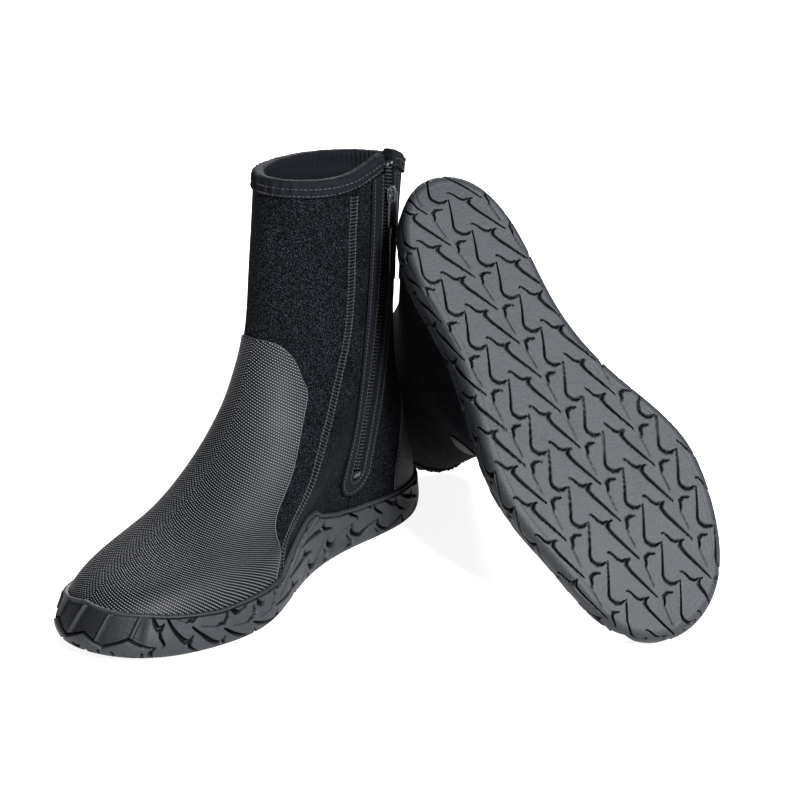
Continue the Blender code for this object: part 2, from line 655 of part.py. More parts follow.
def zip_pull(side):
    """A wire loop through the slider's bridge, and a moulded tab hung on the loop's lower bar."""
    frame = slider_frame()
    top, _, height = PULL_BAR
    bottom = top + LOOP_LENGTH
    wide, corner = LOOP_HALF_WIDTH, 1.4
    path = [
        (top, -wide + corner), (top, wide - corner), (top + corner, wide), (bottom - corner, wide),
        (bottom, wide - corner), (bottom, -wide + corner), (bottom - corner, -wide), (top + corner, -wide),
    ]
    points, faces = wire_ring(frame, [(x, y, height) for x, y in path], WIRE_RADIUS)
    pivot = in_frame(frame, PULL_BAR)
    make_node(side, "zip_pull_loop", points, faces, "zip_metal", pivot)
    turns = np.linspace(0, TAU, 13)[:-1]
    hole = np.stack([bottom + 0.95 * np.cos(turns), height + 0.95 * np.sin(turns)], -1)
    length = 34.0
    reach = np.where(np.cos(turns) > 0.9, length, 1.9 + (length - 5) * np.clip(np.cos(turns), 0, 1) ** 4)
    rim = np.stack([bottom + np.where(np.cos(turns) > 0.4, reach, 1.9 * np.cos(turns)),
                    height + 1.9 * np.sin(turns)], -1)
    half = LOOP_HALF_WIDTH - WIRE_RADIUS - 0.5
    rings = []
    for y, loop in ((-half, hole), (-half, rim), (half, rim), (half, hole)):
        rings.append(in_frame(frame, [(x, y, z) for x, z in loop]))
    count = len(turns)
    points = np.concatenate(rings)
    faces = []
    for i in range(4):
        for j in range(count):
            a, b = i * count, ((i + 1) % 4) * count
            k = (j + 1) % count
            faces.append((a + j, a + k, b + k, b + j))
    make_node(side, "zip_pull_tab", points, faces, "zip_teeth", pivot)


def boot(side):
    """All the pieces of one boot."""
    outsole(side)
    toe_bumper(side)
    inner_soles(side)
    upper_panels(side)
    overlays(side)
    collar_binding(side)
    zip_chain(side)
    zip_facing(side)
    zip_gusset(side)
    zip_slider(side)
    zip_pull(side)


for old in list(bpy.data.objects):
    bpy.data.objects.remove(old, do_unlink=True)
for boot_side in PLACES:
    boot(boot_side)
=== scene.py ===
# %% [markdown]
# # A pair of neoprene dive boots
# The right boot stands and the left one leans on its toe and collar, sole turned up. Both are made by
# the same functions in one boot's own frame, in millimetres: heel at y = 0, toe towards -Y, zip on the
# +X side. The left boot is that boot mirrored and turned. Every soft piece is a patch of one surface
# S(angle, share), where angle runs round the foot from the heel and share runs up the leg. Sculpting
# or cloth simulation would also do, but a surface in two numbers lets seams, zip and stitches be
# placed on it exactly, and gives the same result each run.

# %% Setup
import math

import bpy
import numpy as np
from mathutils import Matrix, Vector


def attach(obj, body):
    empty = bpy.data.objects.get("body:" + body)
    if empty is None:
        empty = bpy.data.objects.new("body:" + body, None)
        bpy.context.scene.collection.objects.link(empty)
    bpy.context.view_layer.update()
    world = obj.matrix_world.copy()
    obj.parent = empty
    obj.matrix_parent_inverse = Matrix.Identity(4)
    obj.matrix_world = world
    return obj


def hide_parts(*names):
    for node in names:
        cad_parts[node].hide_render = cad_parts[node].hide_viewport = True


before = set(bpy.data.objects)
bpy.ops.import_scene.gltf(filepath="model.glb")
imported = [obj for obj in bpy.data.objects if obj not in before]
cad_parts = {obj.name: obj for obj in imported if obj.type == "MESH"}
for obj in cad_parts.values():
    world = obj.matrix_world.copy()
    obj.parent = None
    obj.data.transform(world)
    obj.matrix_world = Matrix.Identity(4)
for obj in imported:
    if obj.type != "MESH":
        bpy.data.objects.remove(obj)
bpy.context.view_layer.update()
MM = 0.001
TAU = 2 * math.pi

# %% [markdown]
# ## Sizes
# A boot is built on a last, a foot-shaped form measured at rings from the sole to the collar. These
# rings, seams and heights are the driving sizes of the solids in the frame, repeated here so that every
# visible piece lies on its collision shape. Lengths are in millimetres, angles in radians.

# %% Sizes of the boot
SOLE_LENGTH = 298.0
SOLE_FLOOR = 6.3
TOE_SPRING = 7.5
TOE_SPRING_STARTS = -205.0
HEEL_BEVEL = 1.5
HEEL_BEVEL_STARTS = -22.0
NEOPRENE = 5.0
RAND_THICKNESS = 3.6
COLLAR_LIFT = 12.0
BINDING_DEPTH = 9.0

STATIONS = [0.0, 0.14, 0.32, 0.5, 0.67, 0.82, 1.0]
OUTER_HALF_WIDTH = [60, 51, 40, 49, 58.5, 59, 76]
INNER_HALF_WIDTH = [60, 47, 34.5, 41.5, 62.5, 69, 80]
CENTRE_SHIFT = [-4, -3.5, -2, 1.5, 4, 6, 8]
RINGS = [
    (0.00, -4.0, 9.7, -293.5, 9.7, 0.93, 0.00, 36.0),
    (0.10, -5.0, 36.0, -277.0, 34.0, 0.85, 0.00, 33.0),
    (0.20, -8.0, 52.0, -235.0, 50.0, 0.77, 0.15, 32.0),
    (0.34, -18.0, 80.0, -185.0, 76.0, 0.80, 0.50, 34.0),
    (0.50, -25.0, 112.0, -155.0, 110.0, 0.83, 0.90, 32.5),
    (0.66, -27.0, 146.0, -140.0, 148.0, 0.84, 1.00, 32.5),
    (0.82, -25.0, 188.0, -134.0, 191.0, 0.84, 1.00, 33.0),
    (1.00, -21.5, 234.0, -126.0, 238.0, 0.84, 1.00, 36.0),
]
RAND_ANGLE = [0.0, 0.9, 1.1, 1.25, 1.4, 1.5, 1.6, 1.7, 1.8, 2.2, 2.65, 3.14, 3.6, 4.1, 4.6, 5.2, TAU]
RAND_HEIGHT = [26, 25, 26, 29, 35, 41, 42, 33, 23, 22, 28, 31, 26, 22, 27, 28, 26]
ZIP_TOP = np.array([36.0, -63.5, 243.0])
ZIP_BOTTOM = np.array([25.9, -82.0, 50.0])
ZIP_RADIUS = 620.0
ZIP_BLEND_ANGLE = 0.33
SLIDER_FROM_TOP = 20.0
SEAM_SHARE = [0.0, 0.05, 0.18, 0.36, 0.475, 0.65, 0.76, 1.0]
SEAM_ANGLE = [1.77, 1.77, 1.84, 1.97, 1.85, 1.74, 1.755, 1.86]
BACK_SEAM_ANGLE = 5.75
OVERLAY_SHARE = [0.0, 0.06, 0.12, 0.2, 0.29, 0.37, 0.47, 0.54, 0.6, 0.635, 0.65]
OVERLAY_ANGLE = [1.84, 1.84, 1.95, 2.12, 2.19, 2.22, 2.2, 2.22, 2.36, 2.6, 2.95]
HEEL_PATCH_ANGLE = 0.78
HEEL_PATCH_TOP = 0.37
LEAN_TOE = (255.2, -79.0, 15.1)
LEAN_TURNS = (-7.0, 49.86, -23.8)
ORIGIN_FROM_HEEL = 145.0

# %% [markdown]
# ## The surface of one boot
# A natural cubic spline joins the rings. Within a ring a point is centre + half width * sine of the
# angle across the foot, and slides from the heel point to the toe point by (1 - cosine) / 2. A
# subdivided cage would be quicker to draw, but its surface can't be asked for a point and a normal.

# %% Splines and the surface
def spline(knots, values, at):
    """Natural cubic curve: piecewise cubics whose second derivative is continuous and 0 at the ends."""
    knots = np.asarray(knots, float)
    values = np.asarray(values, float)
    count = len(knots)
    step = np.diff(knots)
    system = np.eye(count)
    right = np.zeros_like(values)
    for i in range(1, count - 1):
        system[i, i - 1 : i + 2] = step[i - 1], 2 * (step[i - 1] + step[i]), step[i]
        slopes = (values[i + 1] - values[i]) / step[i] - (values[i] - values[i - 1]) / step[i - 1]
        right[i] = 6 * slopes
    bend = np.linalg.solve(system, right.reshape(count, -1)).reshape(values.shape)
    at = np.asarray(at, float)
    k = np.clip(np.searchsorted(knots, at) - 1, 0, count - 2)
    shape = at.shape + (1,) * (values.ndim - 1)
    low = ((knots[k + 1] - at) / step[k]).reshape(shape)
    high = 1 - low
    wide = step[k].reshape(shape)
    curve = ((low**3 - low) * bend[k] + (high**3 - high) * bend[k + 1]) * wide**2 / 6
    return low * values[k] + high * values[k + 1] + curve


def ring_rows():
    """Each ring as one row: end points, then outer, inner and centre values at the stations."""
    rows = []
    for _, heel_y, heel_z, toe_y, toe_z, sole_share, shaft_share, half_width in RINGS:
        sole = sole_share * (1 - shaft_share)
        shaft = half_width * shaft_share
        outer = np.array(OUTER_HALF_WIDTH) * sole + shaft
        inner = np.array(INNER_HALF_WIDTH) * sole + shaft
        centre = np.array(CENTRE_SHIFT) * (1 - shaft_share)
        rows.append(np.concatenate([[heel_y, heel_z, toe_y, toe_z], outer, inner, centre]))
    return np.array(rows)


# The splines are read from fine tables, which are far quicker for large grids.
TABLE_SHARES = np.linspace(-0.02, 1.1, 1121)
TABLE_ROWS = spline([ring[0] for ring in RINGS], ring_rows(), TABLE_SHARES)
TABLE_ALONG = np.linspace(0, 1, 2001)
TABLE_BASIS = spline(STATIONS, np.eye(len(STATIONS)), TABLE_ALONG)


def read(table_at, table, at):
    """Linear look-up of a table of rows at evenly spaced places."""
    place = (np.clip(at, table_at[0], table_at[-1]) - table_at[0]) / (table_at[1] - table_at[0])
    k = np.clip(place.astype(int), 0, len(table_at) - 2)
    part = (place - k)[..., None]
    return table[k] * (1 - part) + table[k + 1] * part


def sole_rise(y):
    """How far the sole bends up: a toe spring and a bevel at the heel, both growing as a square."""
    toe = np.clip((TOE_SPRING_STARTS - y) / (TOE_SPRING_STARTS + SOLE_LENGTH), 0, None)
    heel = np.clip((y - HEEL_BEVEL_STARTS) / -HEEL_BEVEL_STARTS, 0, None)
    return TOE_SPRING * toe**2 + HEEL_BEVEL * heel**2


def turn_between(angle, centre):
    """The signed angle from centre to angle, the short way round."""
    return (angle - centre + math.pi) % TAU - math.pi


def unit(vectors):
    """Each vector over its own length."""
    return vectors / np.linalg.norm(vectors, axis=-1, keepdims=True)


def travelled(points, axis=0):
    """The distance gone along a line, or along a grid's rows or columns, from 0 at the first point."""
    step = np.linalg.norm(np.diff(points, axis=axis), axis=-1)
    return np.concatenate([np.zeros_like(np.take(step, [0], axis)), np.cumsum(step, axis=axis)], axis)


def plain_surface(angle, share):
    """The upper's outside before the zip is drawn flat."""
    angle, share = np.broadcast_arrays(np.asarray(angle, float), np.asarray(share, float))
    row = read(TABLE_SHARES, TABLE_ROWS, share)
    along = (1 - np.cos(angle)) / 2
    basis = read(TABLE_ALONG, TABLE_BASIS, along)
    count = len(STATIONS)
    outer, inner, centre = (
        (basis * row[..., 4 + i * count : 4 + (i + 1) * count]).sum(-1) for i in range(3)
    )
    x = centre + np.where(np.sin(angle) >= 0, inner, outer) * np.sin(angle)
    y = row[..., 0] + (row[..., 2] - row[..., 0]) * along
    z = row[..., 1] + (row[..., 3] - row[..., 1]) * along
    z = z + sole_rise(y) * np.clip(1 - share / 0.15, 0, None)
    lift = COLLAR_LIFT * np.exp(-((turn_between(angle, 1.3) / 0.5) ** 2))
    z = z + lift * np.clip((share - 0.75) / 0.25, 0, None) ** 2
    return np.stack([x, y, z], -1)


# %% [markdown]
# ## The zip's arc
# A real zip bends with the boot. Here it lies in one plane, on a circle of 620 mm radius, so that its
# slider can turn about one fixed axis. A bent path in space would need more joints than it is worth.

# %% The zip's plane, and the surface drawn to it
ZIP_SIDE = np.array([0.0, 1.0, 0.0])
ZIP_DOWN = ZIP_BOTTOM - ZIP_TOP
ZIP_DOWN = ZIP_DOWN - ZIP_SIDE * ZIP_DOWN[1]
ZIP_DOWN = ZIP_DOWN / np.linalg.norm(ZIP_DOWN)
ZIP_OUT = np.cross(ZIP_DOWN, ZIP_SIDE)
ZIP_CHORD = ZIP_BOTTOM - ZIP_TOP
ZIP_HALF = float(np.linalg.norm(ZIP_CHORD)) / 2
ZIP_INWARD = np.cross(ZIP_OUT, ZIP_CHORD / (2 * ZIP_HALF))
ZIP_INWARD = ZIP_INWARD if ZIP_INWARD[1] < 0 else -ZIP_INWARD
ZIP_CENTRE = (ZIP_TOP + ZIP_BOTTOM) / 2 + ZIP_INWARD * math.sqrt(ZIP_RADIUS**2 - ZIP_HALF**2)
ZIP_START = math.asin(float((ZIP_TOP - ZIP_CENTRE) @ ZIP_DOWN) / ZIP_RADIUS)
ZIP_LENGTH = 2 * ZIP_RADIUS * math.asin(ZIP_HALF / ZIP_RADIUS)


def zip_point(run):
    """The point on the zip's circle at this distance from its top end."""
    turn = ZIP_START + np.asarray(run, float)[..., None] / ZIP_RADIUS
    return ZIP_CENTRE + ZIP_RADIUS * (np.cos(turn) * ZIP_SIDE + np.sin(turn) * ZIP_DOWN)


def zip_meridian():
    """Where the plain surface crosses the zip: share, angle, height, and the shift to its plane."""
    angles = np.linspace(0.5, 2.0, 301)
    path = zip_point(np.linspace(-40, ZIP_LENGTH + 80, 400))[::-1]
    rows = []
    for share in np.linspace(0, 1, 61):
        points = plain_surface(angles, share)
        off = points[:, 1] - np.interp(points[:, 2], path[:, 2], path[:, 1])
        angle = np.interp(0, -off, angles)
        x, _, z = plain_surface(angle, share)
        rows.append((share, angle, z, np.interp(z, path[:, 2], path[:, 0]) - x))
    return np.array(rows).T


ZIP_SHARES, ZIP_ANGLES, ZIP_HEIGHTS, ZIP_SHIFTS = zip_meridian()


def surface(angle, share):
    """The upper's outside, drawn in or out near the zip so that the zip lies in its plane."""
    point = plain_surface(angle, share)
    beside = turn_between(angle, np.interp(share, ZIP_SHARES, ZIP_ANGLES)) / ZIP_BLEND_ANGLE
    point[..., 0] += np.interp(share, ZIP_SHARES, ZIP_SHIFTS) * np.exp(-(beside**2))
    return point


def normal_at(angle, share):
    """The unit normal by central differences, turned level at the sole."""
    step = 2e-3
    angle, share = np.broadcast_arrays(np.asarray(angle, float), np.asarray(share, float))
    round_ring = surface(angle + step, share) - surface(angle - step, share)
    up_ring = surface(angle, share + step) - surface(angle, share - step)
    normal = np.cross(up_ring, round_ring)
    normal[..., 2] *= np.clip(share / 0.06, 0, 1)
    return unit(normal)


def offset(angle, share, height):
    """A point this far out from the surface, along its normal."""
    return surface(angle, share) + normal_at(angle, share) * np.asarray(height, float)[..., None]


def share_at_height(angle, height):
    """The height share at which the surface reaches a height over the ground, at each angle."""
    shares = np.linspace(0, 0.3, 61)
    heights = surface(np.asarray(angle)[:, None], shares[None, :])[..., 2]
    return np.array([np.interp(h, row, shares) for h, row in zip(height, heights)])


def rand_share(angle):
    """The rand's top edge as a height share."""
    angle = np.asarray(angle, float)
    table = np.linspace(0, TAU, 361)
    shares = share_at_height(table, np.interp(table, RAND_ANGLE, RAND_HEIGHT))
    return np.interp(angle % TAU, table, shares)


def beside_zip(run, across):
    """Angle and share of a place given by its run down the zip and its distance in front of it."""
    run, across = np.broadcast_arrays(np.asarray(run, float), np.asarray(across, float))
    share = np.interp(zip_point(run)[..., 2], ZIP_HEIGHTS, ZIP_SHARES)
    start = np.interp(share, ZIP_SHARES, ZIP_ANGLES)
    angle = start + across / 52.0
    for _ in range(3):
        middle = (start + angle) / 2
        chord = surface(middle + 1e-3, share) - surface(middle - 1e-3, share)
        angle = start + across / (np.linalg.norm(chord, axis=-1) / 2e-3)
    return angle, share


def zip_edge(share, across):
    """The angle this far in front of the zip, or behind it. Under the zip's foot the two edges meet."""
    run = np.linspace(-30, ZIP_LENGTH + 60, 240)
    apart = np.clip((ZIP_LENGTH + 8 - run) / 6, 0.03, 1)
    angle, at = beside_zip(run, across * apart)
    order = np.argsort(at)
    return np.interp(share, at[order], angle[order])


print("zip length", round(ZIP_LENGTH, 1), "mm, collar ring", surface(0.0, 1.0).round(1))

# %% [markdown]
# ## Placing
# A pair is two mirror images. The left boot is mirrored across its own length and then turned: yaw
# about the vertical, tilt of the sole, and roll about the sole's length. A mirror modifier would keep
# both upright, so the points are moved by a matrix instead.

# %% Placing the two boots
def lean_matrix():
    """A 4 x 4 matrix as turn * mirror, then moved to the toe's place."""
    yaw, tilt, roll = (math.radians(turn) for turn in LEAN_TURNS)
    ahead = np.array([math.cos(yaw), math.sin(yaw), 0])
    up = np.array([0, 0, 1.0])
    heelward = up * math.sin(tilt) - ahead * math.cos(tilt)
    sole_out = ahead * math.sin(tilt) + up * math.cos(tilt)
    side = np.cross(heelward, -sole_out)
    side_rolled = side * math.cos(roll) + sole_out * math.sin(roll)
    out_rolled = sole_out * math.cos(roll) - side * math.sin(roll)
    turn = np.stack([-side_rolled, heelward, -out_rolled], 1)
    matrix = np.eye(4)
    matrix[:3, :3] = turn
    matrix[:3, 3] = turn @ np.array([0, SOLE_LENGTH - 4, 0]) + LEAN_TOE
    matrix[1, 3] += ORIGIN_FROM_HEEL
    return matrix


def stand_matrix():
    """The right boot only moves along Y, so that the origin is under the middle of its sole."""
    matrix = np.eye(4)
    matrix[1, 3] = ORIGIN_FROM_HEEL
    return matrix


PLACES = {"right": stand_matrix(), "left": lean_matrix()}

# %% [markdown]
# ## Meshes
# Surfaces are grids of points. A slab is two grids joined round their rims, a loft is a stack of rings
# with its ends closed, and copies are one small shape set out on many frames at once. Arrays of numbers
# are used in place of modifiers, because a boot has thousands of stitches and each keeps its own place.

# %% Mesh builders
def turned_outward(points, faces):
    """The faces, all turned over if their volume, the sum of a . (b x c) / 6 over triangles, is negative."""
    a, b, c, d = (points[faces[:, i]] for i in range(4))
    second = (a * np.cross(c, d)).sum(-1) * (faces[:, 3] >= 0)
    if ((a * np.cross(b, c)).sum(-1) + second).sum() > 0:
        return faces
    turned = faces[:, ::-1]
    return np.where((faces[:, -1] < 0)[:, None], np.roll(turned, -1, axis=1), turned)


def as_piece(side, name, points, faces, material, body, uv=None, painted_shade=None, sharp=None):
    """One finished mesh object at the origin. Faces are rows of point numbers, -1 filling short rows."""
    matrix = PLACES[side]
    points = (np.asarray(points, float) @ matrix[:3, :3].T + matrix[:3, 3]) * MM
    faces = turned_outward(points, np.asarray(faces))
    loops = faces.ravel()
    loops = loops[loops >= 0]
    totals = (faces >= 0).sum(1)
    mesh = bpy.data.meshes.new(f"{side}_{name}")
    mesh.vertices.add(len(points))
    mesh.vertices.foreach_set("co", points.astype(np.float32).ravel())
    mesh.loops.add(len(loops))
    mesh.loops.foreach_set("vertex_index", loops.astype(np.int32))
    mesh.polygons.add(len(faces))
    mesh.polygons.foreach_set("loop_start", (np.cumsum(totals) - totals).astype(np.int32))
    mesh.update(calc_edges=True)
    if uv is not None:
        layer = mesh.uv_layers.new(name="UVMap")
        layer.data.foreach_set("uv", np.asarray(uv, np.float32)[loops].ravel())
    # The painted_shade values go to a point attribute that the sole material turns into painted shade.
    if painted_shade is not None:
        layer = mesh.attributes.new("painted_shade", "FLOAT", "POINT")
        layer.data.foreach_set("value", np.asarray(painted_shade, np.float32))
    mesh.validate()
    mesh.shade_smooth()
    if sharp is not None:
        mesh.set_sharp_from_angle(angle=math.radians(sharp))
    mesh.materials.append(material)
    piece = bpy.data.objects.new(f"{side}_{name}_look", mesh)
    bpy.context.scene.collection.objects.link(piece)
    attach(piece, f"{side}_{body}")
    return piece


def grid_faces(rows, columns, first=0, close=False):
    """Quads of a grid of points in row order. With close, the last column joins the first."""
    r = np.arange(rows - 1)[:, None]
    c = np.arange(columns if close else columns - 1)[None, :]
    n = (c + 1) % columns
    quads = np.stack([r * columns + c, r * columns + n, (r + 1) * columns + n, (r + 1) * columns + c], -1)
    return quads.reshape(-1, 4) + first


def slab(outside, inside):
    """A closed solid between two grids: the outside, the inside turned over, and quads round the rim."""
    rows, columns = outside.shape[:2]
    points = np.concatenate([outside.reshape(-1, 3), inside.reshape(-1, 3)])
    under = rows * columns
    top = grid_faces(rows, columns)
    rim = np.concatenate([
        np.arange(columns),
        (np.arange(1, rows) + 1) * columns - 1,
        (rows - 1) * columns + np.arange(columns - 2, -1, -1),
        np.arange(rows - 2, 0, -1) * columns,
    ])
    after = np.roll(rim, -1)
    sides = np.stack([after, rim, under + rim, under + after], -1)
    return points, np.concatenate([top, top[:, ::-1] + under, sides])


def loft(rings, closed_path=False):
    """A closed solid through rings of points: quads between rings, fans of triangles at both ends."""
    rings = np.asarray(rings, float)
    levels, count = rings.shape[:2]
    points = rings.reshape(-1, 3)
    walls = grid_faces(levels, count, close=True)
    c = np.arange(count)
    n = (c + 1) % count
    last = (levels - 1) * count
    if closed_path:
        return points, np.concatenate([walls, np.stack([last + c, last + n, n, c], -1)])
    middle = levels * count
    points = np.concatenate([points, rings[0].mean(0)[None], rings[-1].mean(0)[None]])
    short = np.full(count, -1)
    foot = np.stack([n, c, np.full(count, middle), short], -1)
    head = np.stack([last + c, last + n, np.full(count, middle + 1), short], -1)
    return points, np.concatenate([walls, foot, head])


def tube(path, radius, sides=8, closed_path=False, flat=1.0, up=None):
    """A round or flattened tube: circles of the radius across each point's direction of travel."""
    path = np.asarray(path, float)
    if closed_path:
        along = np.roll(path, -1, 0) - np.roll(path, 1, 0)
    else:
        along = np.gradient(path, axis=0)
    along = unit(along)
    up = np.asarray([0, 0, 1.0] if up is None else up, float) + np.zeros_like(path)
    aside = np.cross(along, up)
    aside = unit(aside)
    over = np.cross(aside, along)
    turn = np.arange(sides) / sides * TAU
    radius = np.broadcast_to(np.asarray(radius, float), (len(path),))[:, None, None]
    rings = path[:, None] + radius * (
        aside[:, None] * np.cos(turn)[:, None] + over[:, None] * np.sin(turn)[:, None] * flat
    )
    return loft(rings, closed_path)


def copies(template, faces, origins, axes):
    """One small shape on many frames: origin + x * first axis + y * second axis + z * third axis."""
    placed = origins[:, None] + np.einsum("pk,nkc->npc", template, axes)
    count = len(template)
    shifted = np.where(faces[None] >= 0, faces[None] + np.arange(len(origins))[:, None, None] * count, -1)
    return placed.reshape(-1, 3), shifted.reshape(-1, faces.shape[1])


def smooth_step(value, low, high):
    """0 below low, 1 above high, and 3 t^2 - 2 t^3 between them."""
    t = np.clip((value - low) / (high - low), 0, 1)
    return t * t * (3 - 2 * t)


def ripple(a, b, seed, waves, lengths):
    """Smooth random waves: a sum of sines with seeded directions and lengths between the two given."""
    source = np.random.default_rng(seed)
    total = np.zeros(np.broadcast(a, b).shape)
    for _ in range(waves):
        length = source.uniform(*lengths)
        way = source.uniform(0, TAU)
        start = source.uniform(0, TAU)
        total += np.sin((a * math.cos(way) + b * math.sin(way)) * TAU / length + start)
    return total / math.sqrt(waves)


# %% [markdown]
# ## Materials
# Each material is a Principled shader with a few nodes in front of it, so that its texture is worked
# out from the place on the piece and no image is needed. Lengths in the docstrings are real ones, and
# noise scales are cells per metre.

# %% Material helpers
def linear(code):
    """An sRGB hex code as linear RGBA."""
    values = [int(code[i : i + 2], 16) / 255 for i in (0, 2, 4)]
    return [v / 12.92 if v <= 0.04045 else ((v + 0.055) / 1.055) ** 2.4 for v in values] + [1.0]


class Shader:
    """A material being built: add() makes a node with settings and links in one call."""

    def __init__(self, name, roughness, sheen=0.0, coat=0.0, metallic=0.0, specular=0.5):
        self.material = bpy.data.materials.new(name)
        self.material.use_nodes = True
        self.tree = self.material.node_tree
        self.shader = self.tree.nodes["Principled BSDF"]
        values = {"Roughness": roughness, "Sheen Weight": sheen, "Coat Weight": coat, "Metallic": metallic,
                  "Specular IOR Level": specular}
        for socket, value in values.items():
            self.shader.inputs[socket].default_value = value

    def add(self, kind, settings=None, **inputs):
        """A node of this kind. Inputs are sockets by name or number (as _0), given a value or a link."""
        node = self.tree.nodes.new("ShaderNode" + kind)
        for key, value in (settings or {}).items():
            setattr(node, key, value)
        for key, value in inputs.items():
            socket = node.inputs[int(key[1:])] if key[0] == "_" else node.inputs[key]
            if isinstance(value, bpy.types.NodeSocket):
                self.tree.links.new(value, socket)
            else:
                socket.default_value = value
        return node

    def math(self, operation, *values):
        """One arithmetic step on up to three values or links."""
        inputs = {f"_{i}": value for i, value in enumerate(values)}
        return self.add("Math", {"operation": operation}, **inputs).outputs[0]

    def mix(self, share, first, second):
        """Colour between two colours by a share."""
        node = self.add("Mix", {"data_type": "RGBA"}, _0=share, _6=first, _7=second)
        return node.outputs[2]

    def link(self, output, socket):
        self.tree.links.new(output, self.shader.inputs[socket])

    def bump(self, height, distance, strength=1.0):
        """Lift the normal by a height field of 0 to 1, this many metres tall."""
        node = self.add("Bump", Height=height, Distance=distance, Strength=strength)
        self.link(node.outputs[0], "Normal")


def neoprene_material():
    """5 mm neoprene faced with a fine jersey knit, whose loops of about 0.8 mm catch the light."""
    s = Shader("neoprene jersey", 0.85, sheen=0.01, specular=0.1)
    place = s.add("TexCoord").outputs["Object"]
    loops = s.add("TexNoise", Vector=place, Scale=1500.0, Detail=2.0, Roughness=0.7).outputs["Fac"]
    patches = s.add("TexNoise", Vector=place, Scale=45.0, Detail=2.0).outputs["Fac"]
    specks = s.math("MULTIPLY", s.math("SUBTRACT", loops, 0.5), 7.0)
    specks = s.add("Clamp", Value=specks).outputs[0]
    specks = s.math("MULTIPLY", specks, s.math("ADD", patches, 0.2))
    s.link(s.mix(specks, linear("030405"), linear("3f434b")), "Base Color")
    s.bump(loops, 0.0003)
    return s.material


def overlay_material():
    """Rubber printed on cloth: raised dashes 1.3 mm long on a 1.6 mm grid, set in chevrons."""
    s = Shader("printed rubber overlay", 0.55, specular=0.22)
    uv = s.add("SeparateXYZ", Vector=s.add("TexCoord").outputs["UV"]).outputs
    across = s.math("ABSOLUTE", uv[0])
    turned = s.math("ADD", uv[1], s.math("MULTIPLY", across, 0.45))
    cross_row = s.math("DIVIDE", s.math("SUBTRACT", across, s.math("MULTIPLY", uv[1], 0.12)), 0.0017)
    row = s.math("DIVIDE", turned, 0.0016)
    cell_row = s.math("FLOOR", row)
    stagger = s.math("MULTIPLY", s.math("MODULO", cell_row, 2.0), 0.5)
    cell_x = s.math("SUBTRACT", s.math("FRACT", s.math("ADD", cross_row, stagger)), 0.5)
    cell_y = s.math("SUBTRACT", s.math("FRACT", row), 0.5)
    long_way = s.math("MULTIPLY", s.math("ADD", cell_x, s.math("MULTIPLY", cell_y, 0.9)), 1.7)
    short_way = s.math("MULTIPLY", s.math("SUBTRACT", cell_y, s.math("MULTIPLY", cell_x, 0.4)), 3.0)
    reach = s.math("SQRT", s.math("ADD", s.math("POWER", long_way, 2.0), s.math("POWER", short_way, 2.0)))
    dash = s.add("MapRange", {"interpolation_type": "SMOOTHSTEP"}, _0=reach, _1=1.05, _2=0.45, _3=0.0, _4=1.0)
    grime = s.add("TexNoise", Vector=s.add("TexCoord").outputs["Object"], Scale=60.0, Detail=3.0)
    low = s.mix(grime.outputs["Fac"], linear("08090b"), linear("0f1114"))
    s.link(s.mix(dash.outputs[0], low, linear("646669")), "Base Color")
    s.bump(dash.outputs[0], 0.00025)
    return s.material


def sole_material():
    """Moulded rubber, mottled grey with a fine grain. The grooves are mixed to near black by the painted_shade
    attribute: painted shade in the recesses.
    """
    s = Shader("moulded rubber", 0.55, specular=0.3)
    place = s.add("TexCoord").outputs["Object"]
    grain = s.add("TexNoise", Vector=place, Scale=700.0, Detail=4.0, Roughness=0.65).outputs["Fac"]
    cloud = s.add("TexNoise", Vector=place, Scale=70.0, Detail=4.0).outputs["Fac"]
    top = s.mix(cloud, linear("1f2124"), linear("2b2d30"))
    top = s.mix(s.math("MULTIPLY", grain, 0.7), top, linear("414347"))
    # Painted shade: the groove depth attribute darkens grooves and sunk toe panels towards near black 040405.
    painted_shade = s.add("Attribute", {"attribute_name": "painted_shade"}).outputs["Fac"]
    s.link(s.mix(painted_shade, top, linear("040405")), "Base Color")
    s.bump(grain, 0.0003)
    return s.material


def plain_material(name, code, roughness, grain_scale=600.0, grain=0.0001, light=None, **more):
    """One colour with a fine grain."""
    s = Shader(name, roughness, **more)
    place = s.add("TexCoord").outputs["Object"]
    noise = s.add("TexNoise", Vector=place, Scale=grain_scale, Detail=3.0).outputs["Fac"]
    s.link(s.mix(noise, linear(code), linear(light or code)), "Base Color")
    s.bump(noise, grain)
    return s.material


def tape_material(name, code, light):
    """Woven tape: ribs 0.7 mm apart along it, crossed by finer ones."""
    s = Shader(name, 0.8, specular=0.15)
    uv = s.add("SeparateXYZ", Vector=s.add("TexCoord").outputs["UV"]).outputs
    ribs = s.math("SINE", s.math("MULTIPLY", uv[0], TAU / 0.0007))
    cross = s.math("SINE", s.math("MULTIPLY", uv[1], TAU / 0.0009))
    weave = s.math("MULTIPLY", s.math("ADD", s.math("MULTIPLY", ribs, cross), 1.0), 0.5)
    s.link(s.mix(weave, linear(code), linear(light)), "Base Color")
    s.bump(weave, 0.00015)
    return s.material


NEOPRENE_JERSEY = neoprene_material()
OVERLAY_RUBBER = overlay_material()
SOLE_RUBBER = sole_material()
THREAD = plain_material("polyester thread", "17181a", 0.6, 2500.0, 0.00008, light="3a3b3f")
BINDING_CLOTH = plain_material(
    "elastic binding", "030405", 0.75, 1500.0, 0.0004, light="2a2c32", sheen=0.01, specular=0.1
)
EDGE_RUBBER = plain_material("overlay edge", "303235", 0.55, light="3e4043")
TAPE_CLOTH = tape_material("woven zip tape", "0c0d0f", "25272a")
TOOTH_PLASTIC = plain_material("moulded zip teeth", "1b1c1f", 0.35, light="2c2e31")
ZIP_METAL = plain_material("black lacquered zinc", "303236", 0.25, 300.0, 0.00003, light="3c3e42", coat=0.5)
PULL_PLASTIC = plain_material("soft moulded pull", "121315", 0.35, light="1c1d20", specular=0.6)
FOOTBED_FOAM = plain_material("footbed felt", "121316", 0.9, 900.0, 0.0004, light="222428", specular=0.1)
print("materials", len(bpy.data.materials))

